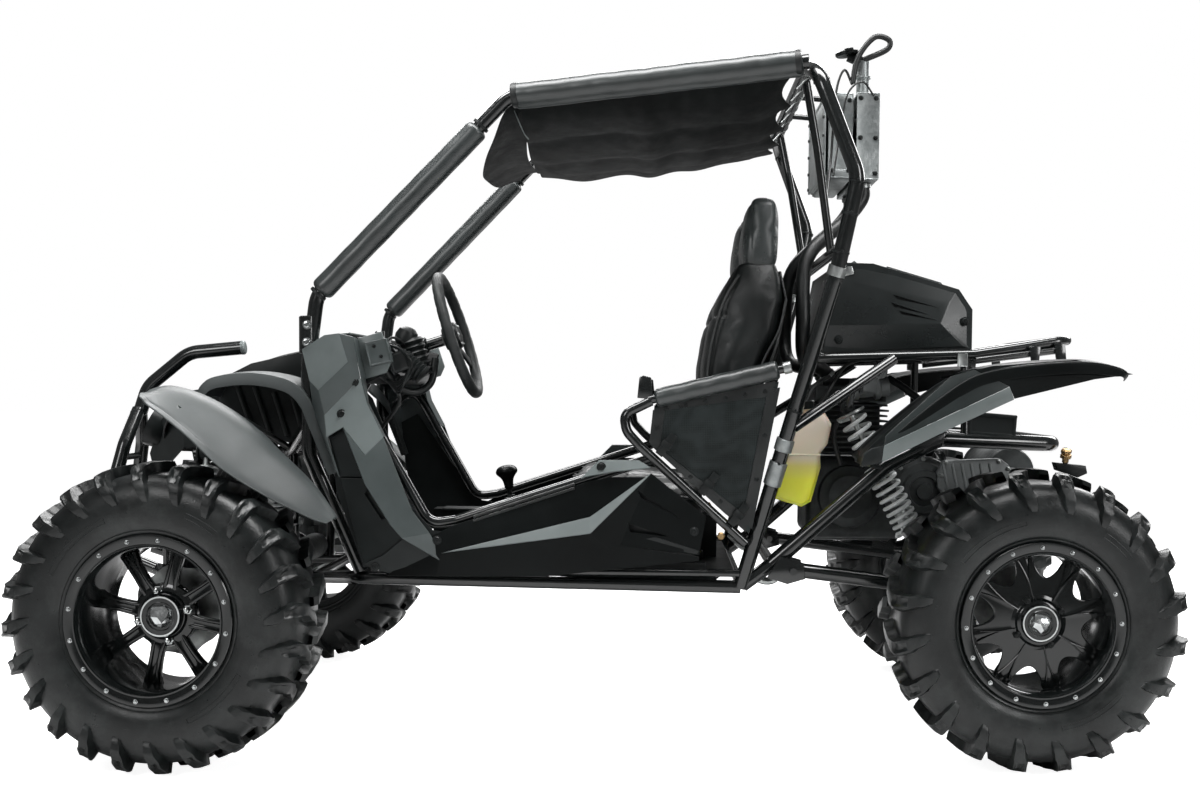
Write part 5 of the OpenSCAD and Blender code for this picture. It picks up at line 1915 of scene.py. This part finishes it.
def radiator():
    low, high, half, core, cheeks = (radiatorShape[k] for k in ("low", "high", "half", "core", "cheeks"))
    middle, sides = (low + high) / 2, (1, -1)
    frameParts = [casing("tank", at(core, 0, z), (60, 352, 26), 7) for z in (low + 13, high - 13)]
    frameParts += [casing("cheek", at(core, s * (half - 4), middle), (58, 8, 200), 2, 1.5) for s in sides]
    frameParts += [casing("rear_cheek", at(cheeks, s * (half + 6), middle - 2), (54, 6, 204), 2, 1.5)
                   for s in sides]
    frameParts += [casing("rear_rail", at(cheeks, 0, z), (54, 366, 6), 2) for z in (1304, 1505)]
    fitted(joined("radiator_frame", frameParts), aluminium, "bare_aluminium", "radiator", angle=30)
    count, depth = radiatorShape["fins"], high - low - 58
    spots = [Matrix.Translation(at(core, 0, low + 29 + i * depth / count)) for i in range(count + 1)]
    fins = repeated("radiator_fins", casing("fin", (0, 0, 0), (40, 336, 1.6), 0), spots)
    fitted(fins, aluminium, "bare_aluminium", angle=30)
    spots = [Matrix.Translation(at(core, -160 + i * 20, middle)) for i in range(17)]
    tubes = repeated("radiator_tubes", casing("tube", (0, 0, 0), (30, 4, 150), 1.2), spots)
    fitted(tubes, zincSteel, "bare_aluminium", angle=30)
    # perforated guard in front, folded at its edges
    front, reach = radiatorShape["guard"], 168
    outline = [(front + 8, 1310), (front + 2, 1318), (front + 2, 1494), (front + 8, 1502),
               (front + 5, 1502), (front - 0.5, 1496), (front - 0.5, 1316), (front + 5, 1310)]
    fitted(plate("guard", outline, reach, -reach, 0.6), meshSteel, "bare_aluminium", angle=30)
    edges = [casing("guard_edge", at(front, s * reach, middle), (6, 8, 184), 1.5) for s in sides]
    edges += [casing("guard_edge", at(front, 0, z), (6, 340, 8), 1.5) for z in (1314, 1498)]
    fitted(joined("guard_edges", edges), aluminium, "bare_aluminium", angle=30)
    # fan behind
    fan, bore = radiatorShape["fan"], radiatorShape["fanRadius"]
    hubPlace, rearward = at(fan, 0, middle), (-1, 0, 0)
    ringProfile = [(bore, -14), (bore + 4, -14), (bore + 4, 14), (bore, 14)]
    ring = turned("fan_ring", ringProfile, hubPlace, rearward, 48, ring=True)
    hub = turned("fan_hub", [(0, 16), (26, 15), (31, 9), (31, -12), (0, -12)], hubPlace, rearward, 32)
    blade = skin("blade", 6, 8, lambda u,
                 v: Vector((0.012 * (u - 0.5) + 0.006 * v, (0.028 + 0.06 * v), (u - 0.5) * (0.03 + 0.022 * v))))
    blade = thickened(facing(outwards(blade), rearward), 2)
    step = tau / radiatorShape["blades"]
    turns = [Matrix.Rotation(i * step, 4, "X") for i in range(radiatorShape["blades"])]
    blades = repeated("fan_blades", blade, [Matrix.Translation(hubPlace) @ turn for turn in turns])
    spokes = []
    for a in (0.4, 1.97, 3.54, 5.11):
        spot = at(fan + 12, 0, middle) + Matrix.Rotation(a, 3, "X") @ Vector((0, 0.06, 0))
        spokes.append(casing("fan_spoke", spot, (4, 84, 8), 1, 0, (degrees(a), 0, 0)))
    motor = turned("fan_motor", [(0, 0), (34, 0), (34, -2), (30, -4), (0, -4)], at(fan + 13, 0, middle), (1, 0, 0),
                   32)
    holeProfile = [(0, -20), (bore + 1, -20), (bore + 1, 20), (0, 20)]
    hole = turned("hole", holeProfile, at(fan - 10, 0, middle), rearward, 48)
    plateBack = cutBy(casing("fan_plate", at(fan - 10, 0, middle - 1), (5, 356, 190), 2), [hole])
    fitted(joined("radiator_fan", [ring, hub, blades, plateBack, motor] + spokes), blackPlastic, "black_plastic",
           angle=35)
    bolts = sideSpots([(back, half, z) for back in (1404, 1444) for z in (1322, 1490)]
                      + [(back, half + 9, z) for back in (1470, 1506) for z in (1316, 1400, 1494)])
    bolts += [(at(front - 2, s * reach, z), (1, 0, 0)) for s in sides for z in (1322, 1362, 1406, 1450, 1490)]
    fitted(boltsAt("radiator_bolts", bolts, 4.5, 3.2), satinSteel, "zinc_steel")
    stays = [pipe("radiator_stay",
                  [at(back, s * 120, up) for back, up in ((1318, 1506), (1380, 1502), (1420, 1508))], 7, 20)
             for s in sides]
    fitted(joined("radiator_stays", stays), glossTube, "gloss_tube", angle=40)


meshSteel = finish("perforated_steel", (0.30, 0.32, 0.32), (0.46, 0.48, 0.48), (0.35, 0.5), cloud=18,
                   grain=("dots", 190), bump=0.6, metal=0.85)
radiator()


def ringsOn(name, path, shares, radius, length, finishOf, slotName):
    parts, inner, outer, end = [], radius - 1, radius + 2.6, length / 2
    profile = [(inner, -end), (outer, -end), (outer, end), (inner, end)]
    for share in shares:
        p, q = alongPath(path, share), alongPath(path, min(1, share + 0.01))
        if (q - p).length < 1e-6:
            q, p = p, alongPath(path, share - 0.01)
        parts.append(turned(name, profile, p, q - p, 28, ring=True))
    return fitted(joined(name, parts), finishOf, slotName, angle=40)


hoseLine = [(1486, 120, 1300), (1484, 122, 1262), (1440, 140, 1205), (1347, 200, 1110), (1335, 240, 960),
            (1345, 200, 872),
            (1400, 80, 850), (1420, 60, 831)]
hosePaths = [smoothPath([at(b, s * o, z) for b, o, z in hoseLine], 8) for s in (1, -1)]
hoseParts = [pipe("coolant_hose", path, 17, sides=20) for path in hosePaths]
loop = route([(1478, 160, 1590), (1530, 176, 1612), (1535, 178, 1634), (1500, 178, 1640), (1462, 178, 1592),
              (1450, 176, 1530)], 8)
hoseParts.append(pipe("overflow_loop", loop, 7, sides=12))
fitted(joined("cooling_hoses", hoseParts), hoseRubber, "hose_rubber", "radiator_hoses", angle=60)
for path in hosePaths:
    ringsOn("hose_clip", path, (0.03, 0.96), 17, 9, zincSteel, "zinc_steel")
filler = turned("filler_neck", [(0, -2), (15.5, -2), (15.5, 34), (19, 36), (19, 40), (15, 41), (15, 78), (0, 78)],
                at(1478, 150, 1511), (0, 0, 1), 32)
fitted(filler, aluminium, "bare_aluminium", angle=35)
capTop = turned("filler_cap", [(0, 12), (10, 12), (13, 9), (24, 8), (29, 5), (29, 0), (26, -3), (0, -3)],
                at(1440, 150, 1604), (0.17, 0, 1), 40)
neck = pipe("filler_elbow", route([(1478, 150, 1568), (1474, 150, 1586), (1456, 150, 1594), (1442, 150, 1600)], 5),
            13, sides=18)
ears = [casing("cap_ear", at(1440, 150 + t * 27, 1610), (22, 12, 8), 3, 0, (0, 10, 0)) for t in (1, -1)]
fitted(joined("filler_top", [capTop, neck] + ears), blackPlastic, "black_plastic", angle=40)
thin = [lineOf("thin_line", [(1450, 170, 1528), (1430, 182, 1560), (1412, 190, 1520), (1404, 200, 1440),
                             (1396, 214, 1330), (1376, 300, 1200)], 3),
        lineOf("thin_line", [(1500, 186, 1500), (1470, 196, 1530), (1436, 200, 1500), (1420, 206, 1420),
                             (1400, 240, 1300)], 2.4)]
fitted(joined("thin_lines", thin), hoseRubber, "hose_rubber", angle=60)

bottleShape = [(1306, 742), (1372, 748), (1391, 718), (1383, 672), (1366, 656), (1368, 626), (1347, 548),
               (1326, 536), (1264, 556), (1262, 582), (1285, 622), (1292, 680)]


def bottle():
    body = softened(plate("bottle_body", bottleShape, 372, 288, 15, 3), 1)
    seam = plate("bottle_seam", [(b + (4 if b > 1325 else -4), z + (4 if z > 650 else -4))
                                 for b, z in bottleShape], 331, 328, 0.8)
    ridge = casing("bottle_ridge", at(1328, 330, 652), (78, 86, 5), 2)
    top = turned("bottle_neck", [(0, 0), (15, 0), (15, 14), (0, 14)], at(1338, 330, 742), (0.1, 0, 1), 28)
    return joined("coolant_bottle_body", [body, seam, ridge, top])


fitted(bottle(), bottlePlastic, "bottle_plastic", "coolant_bottle", angle=50)
bottleCap = turned("bottle_cap", [(0, 18), (12, 18), (18, 15), (18, 0), (15, -2), (0, -2)], at(1337, 330, 756),
                   (0.1, 0, 1), 24)
drain = lineOf("bottle_line", [(1336, 330, 772), (1350, 320, 800), (1372, 300, 820), (1398, 240, 830)], 5, 10)
fitted(joined("bottle_top", [bottleCap, drain]), blackPlastic, "black_plastic", angle=40)
legAxis = hoopLeg[1] - hoopLeg[0]
sleeves = []
for s in (1, -1):
    for up, length in ((676, 30), (612, 56)):
        share = (up - 352) / (1036 - 352)
        p = hoopLeg[0].lerp(hoopLeg[1], share)
        axis = Vector((legAxis.x, legAxis.y * s, legAxis.z))
        sleeves.append(turned("leg_sleeve", [(17, -length / 2), (20.5, -length / 2 + 2), (20.5, length / 2 - 2),
                                             (17, length / 2)], (p.x, p.y * s, p.z), axis, 32))
fitted(joined("leg_sleeves", sleeves), aluminium, "bare_aluminium", angle=35)

# --- engine, gearbox and exhaust
engineParts = [casing("crankcase", at(1488, -20, 535), (246, 244, 196), 20, 3, segments=3),
               casing("sump", at(1480, -20, 446), (200, 190, 32), 10),
               casing("head", at(1472, -20, 792), (176, 184, 40), 9, 2),
               casing("valve_cover", at(1472, -20, 818), (130, 140, 22), 8, 2)]
engineParts += [casing("cooling_fin", at(1474, -20, 646 + i * 13), (186 - (i % 2) * 6, 200 - (i % 2) * 6, 5), 1.6)
                for i in range(10)]
engineParts.append(casing("barrel", at(1474, -20, 704), (150, 160, 130), 10))
engineParts.append(turned("side_cover", [(0, 18), (52, 18), (60, 12), (74, 10), (78, 4), (78, -10), (0, -10)],
                          at(1470, 98, 540), (0, 1, 0), 40))
fitted(joined("engine_block", engineParts), castMetal, "engine_metal", "engine", angle=35)
throttle = [turned("throttle_body", [(0, -46), (24, -46), (27, -40), (27, -30), (22, -26), (22, 8), (30, 12),
                                     (30, 22), (24, 26), (24, 46), (0, 46)], at(1512, 118, 806), (-1, 0, 0.1), 32),
            casing("throttle_box", at(1506, 150, 812), (42, 26, 40), 4, 2),
            casing("throttle_lid", at(1506, 166, 812), (34, 8, 32), 3, 2),
            turned("throttle_wheel", [(0, 6), (17, 5), (19, 0), (17, -4), (0, -4)], at(1530, 160, 846), (0, 1, 0),
                   28)]
fitted(joined("throttle", throttle), greyCast, "engine_metal", angle=38)
cables = [lineOf("cable", [(1530, 160, 848), (1500, 176, 872), (1440, 210, 856), (1392, 250, 790),
                           (1340, 240, 700), (1280, 200, 560)], 4.5),
          lineOf("cable", [(1470, 110, 770), (1440, 150, 740), (1420, 170, 690), (1440, 160, 620)], 6, 10),
          lineOf("cable", [(1560, 110, 830), (1600, 150, 800), (1640, 190, 760), (1660, 210, 700),
                           (1650, 180, 650)], 9, 12),
          lineOf("cable", [(1400, 110, 720), (1370, 160, 660), (1330, 180, 600), (1300, 140, 520)], 7, 10)]
fitted(joined("engine_cables", cables), hoseRubber, "hose_rubber", angle=60)
gearParts = [turned("belt_cover", [(0, 146), (18, 146), (20, 138), (34, 137), (36, 144), (48, 144), (52, 134),
                                   (66, 132), (72, 122), (80, 118), (82, 108), (82, 0), (0, 0)],
                    at(1625, 112, 565), (0, 1, 0), 48),
             casing("belt_case", at(1766, 178, 552), (206, 124, 132), 16, 3, segments=3),
             casing("final_drive", at(1806, 0, 332), (146, 214, 172), 22, 4, segments=3),
             turned("drive_flange", [(0, 112), (52, 112), (60, 104), (60, -104), (52, -112), (0, -112)],
                    at(1806, 0, 318), (0, 1, 0), 36)]
# the final drive: a neck up to the belt case, a round rear cover, bearing bosses and ribs
gearParts += [casing("drive_neck", at(1772, 122, 452), (96, 84, 96), 12, 2, segments=3),
              turned("drive_cover", [(0, 12), (36, 12), (42, 8), (60, 7), (66, 2), (66, -8), (0, -8)],
                     at(1881, 0, 332), (-1, 0, 0), 48)]
gearParts += [turned("drive_boss", [(0, 14), (22, 14), (26, 11), (40, 9), (46, 3), (46, -6), (0, -6)],
                     at(1806, s * 108, 332), (0, s, 0), 40) for s in (1, -1)]
gearParts += [casing("drive_rib", at(1806, -84 + i * 28, 419), (120, 5, 10), 1.5) for i in range(7)]
gearParts += [casing("drive_web", at(1884, s * 84, 332), (8, 6, 140), 1.5) for s in (1, -1)]
eighths = [k * pi / 4 for k in range(8)]
driveBolts = [(at(1874, 54 * cos(a), 332 + 54 * sin(a)), (-1, 0, 0)) for a in eighths]
driveBolts += [(at(1880, s * 94, 332 + t * 66), (-1, 0, 0)) for s in (1, -1) for t in (1, -1)]
fitted(boltsAt("drive_bolts", driveBolts, 5, 4, True), zincSteel, "zinc_steel")
fitted(joined("gearbox", gearParts), castMetal, "engine_metal", "transmission", angle=35)
coverParts = [plate("side_case", [(1652, 612), (1668, 640), (1800, 646), (1822, 630), (1826, 572), (1800, 556),
                                  (1670, 556), (1654, 574)], 262, 242, 5, 3)]
coverParts += [casing("case_rib", at(1672 + i * 22, 262, 600), (6, 5, 70), 1.5, 0, (0, 12, 0)) for i in range(6)]
fitted(joined("side_case_cover", coverParts), greyCast, "engine_metal", angle=32)
caseBolts = [(at(b, 263, z), (0, 1, 0))
             for b, z in ((1662, 604), (1672, 634), (1796, 638), (1818, 622), (1818, 576), (1666, 566))]
caseBolts += [(at(1625 + 74 * cos(a), 232, 565 + 74 * sin(a)), (0, 1, 0)) for a in eighths]
fitted(boltsAt("case_bolts", caseBolts, 5, 4, True), zincSteel, "zinc_steel")
airBox = casing("air_box", at(1766, 292, 724), (112, 56, 52), 8, 2, (0, -4, 0), 3)
fitted(joined("air_box_set", [airBox, casing("air_lid", at(1766, 292, 748), (116, 60, 8), 3, 0, (0, -4, 0))]),
       darkGrey, "black_plastic", angle=35)
exhaust = [turned("muffler_can", [(0, 0), (40, 0), (58, 5), (62, 12), (62, 40), (60.5, 42), (60.5, 46), (62, 48),
                                  (62, 252), (60.5, 254), (60.5, 258), (62, 260), (62, 288), (58, 295), (40, 300),
                                  (0, 300)],
                  at(1890, -300, 600), (0, 1, 0), 44),
           lineOf("muffler_pipe", [(1560, -160, 640), (1600, -235, 600), (1700, -240, 562), (1790, -240, 572),
                                   (1845, -240, 592)], 18, 18),
           pipe("tail_pipe", route([(1900, -40, 600), (1944, -40, 596), (1976, -40, 584)], 5), 14, sides=16)]
fitted(joined("exhaust", exhaust), castMetal, "dark_steel", "muffler", angle=38)
brassBits = [turned("brass_fitting", [(0, -16), (8, -16), (8, -5), (13.5, -5), (13.5, 3), (10, 5), (13, 8),
                                      (13, 14), (8, 17), (0, 17)], at(1944, 296, 656), (0, 0.3, 1), 6),
             turned("brass_nut", [(0, 9), (6, 9), (9, 6), (9, 0), (0, 0)], at(1144, 414, 472), (0, 1, 0), 6)]
fitted(joined("brass_fittings", brassBits + [copyOf(p, p.name + "_far", acrossY) for p in brassBits]), brass,
       "zinc_steel", angle=30)
tail = [plate("tail_bracket", [(1918, 640), (1990, 634), (1994, 616), (1972, 606), (1924, 622)], 300, 268, 1.5),
        casing("tail_post", at(1944, 292, 652), (10, 10, 46), 2)]
fitted(bothSides("tail_brackets", *tail), satinSteel, "dark_steel", angle=35)
hooks = [casing("rack_clip", at(1692, 333, 872), (22, 10, 30), 2, 2),
         pipe("drain_pipe", route([(1200, 330, 400), (1236, 330, 366), (1270, 330, 366), (1290, 330, 400)], 5), 9,
              sides=12)]
fitted(bothSides("frame_clips", *hooks), zincSteel, "zinc_steel", angle=35)
print("engine and cooling made")


# --- suspension
shocks = {"front": {"top": (-40, 245, 630), "foot": (-4, 400, 296), "coil": 22.5, "wire": 4.6, "turns": 13,
                    "reach": (0.13, 0.68)},
          "rear": {"top": (1435, 297, 759), "foot": (1622, 316, 402), "coil": 29, "wire": 4.6, "turns": 15,
                   "reach": (0.05, 0.77)}}


coilEase = 0.25  # how much closer together the turns lie towards the foot


def coilSpring(name, a, b, radius, wire, turns):
    along, steps = b - a, turns * 18
    side, across = squareTo(along.normalized(), (0, 1, 0))
    points = []
    for i in range(steps + 1):
        t = i / steps
        angle = t * turns * tau
        centre = a + along * (t * (1 + coilEase) - coilEase * t * t)
        points.append(centre + (side * cos(angle) + across * sin(angle)) * radius / 1000)
    return pipe(name, points, wire, sides=10)


def shock(which, nodeName, eyeAxis):
    look = shocks[which]
    a, b = at(*look["top"]), at(*look["foot"])
    along = (b - a).normalized()
    length = (b - a).length * 1000

    def spot(share):
        return a.lerp(b, share)

    coil = coilSpring("coil", spot(look["reach"][0]), spot(look["reach"][1]), look["coil"], look["wire"],
                      look["turns"])
    seats = [turned("spring_seat", [(9, -4), (look["coil"] + 6, -3), (look["coil"] + 6.5, 2), (14, 5), (9, 5)],
                    spot(t), along, 28, ring=True) for t in (look["reach"][0] - 0.01, look["reach"][1] + 0.01)]
    body = [turned("damper_body", [(0, -0.17 * length), (14, -0.17 * length), (16, -0.16 * length),
                                   (16, 0.08 * length), (12, 0.09 * length), (0, 0.09 * length)],
                   spot(0.82), along, 28),
            turned("damper_rod", [(0, 0), (7, 0), (7, 0.62 * length), (0, 0.62 * length)], a, along, 20)]
    eyeProfile = [(8.2, -12), (15, -12), (16, -8), (16, 8), (15, 12), (8.2, 12)]
    eyes = [turned("shock_eye", eyeProfile, p, eyeAxis, 28, ring=True) for p in (a, b)]
    bump = turned("bump_rubber", [(7, 0), (15, 2), (17, 10), (13, 15), (16, 22), (12, 28), (7, 30)], spot(0.55),
                  -along, 24)
    fitted(bothSides(which + "_springs", coil), springPaint, "spring_paint", nodeName, angle=60)
    fitted(bothSides(which + "_dampers", *(body + seats)), zincSteel, "zinc_steel", angle=38)
    fitted(bothSides(which + "_shock_eyes", *(eyes + [bump])), satinSteel, "dark_steel", angle=38)


shock("front", "front_shocks", (1, 0, 0))
shock("rear", "rear_shocks", (0, 1, 0))


def boot(name, centre, axis, small, large, length):
    profile, edges = [(small * 0.7, 0)], 10
    for i in range(edges + 1):
        t = i / edges
        profile.append((small + (large - small) * t + (3 if i % 2 else -2), t * length))
    profile += [(large + 2, length), (large * 0.5, length + 1)]
    return turned(name, profile, centre, axis, 32)


rearAxleBack = frontAxle - rearAxle
boots = [boot("inner_boot", at(rearAxleBack, 176, 318), (0, -1, 0), 15, 33, 50),
         boot("outer_boot", at(rearAxleBack, 270, 318), (0, 1, 0), 15, 31, 48)]
fitted(bothSides("axle_boots", *boots), gripRubber, "grip_rubber", angle=50)
bootProfile = [(8, -1), (14, 0), (15, 4), (12, 7), (9, 8)]
jointBoots = [turned("joint_boot", bootProfile, at(10, 500, up), (0, 0, way), 24)
              for up, way in ((300, -1), (396, 1))]
fitted(bothSides("ball_joint_boots", *jointBoots), gripRubber, "grip_rubber", angle=40)
armBolts = [(at(b, s * o, z), (1 if b < 0 else -1, 0, 0)) for s in (1, -1)
            for b, o, z in ((-204, 112, 345), (164, 180, 345), (-204, 126, 470), (164, 192, 470))]
fitted(boltsAt("arm_bolts", armBolts, 9, 6, True), zincSteel, "zinc_steel")

# these keep the frame's own shapes under a better finish
kept = {"front_arms": glossTube, "rear_arms": glossTube, "knuckle_left": castMetal, "knuckle_right": castMetal,
        "tie_rod_left": zincSteel,
        "tie_rod_right": zincSteel, "steering_rack": castMetal, "half_shafts": castMetal}
for node, material in kept.items():
    reclothed(node, material)
print("suspension made")
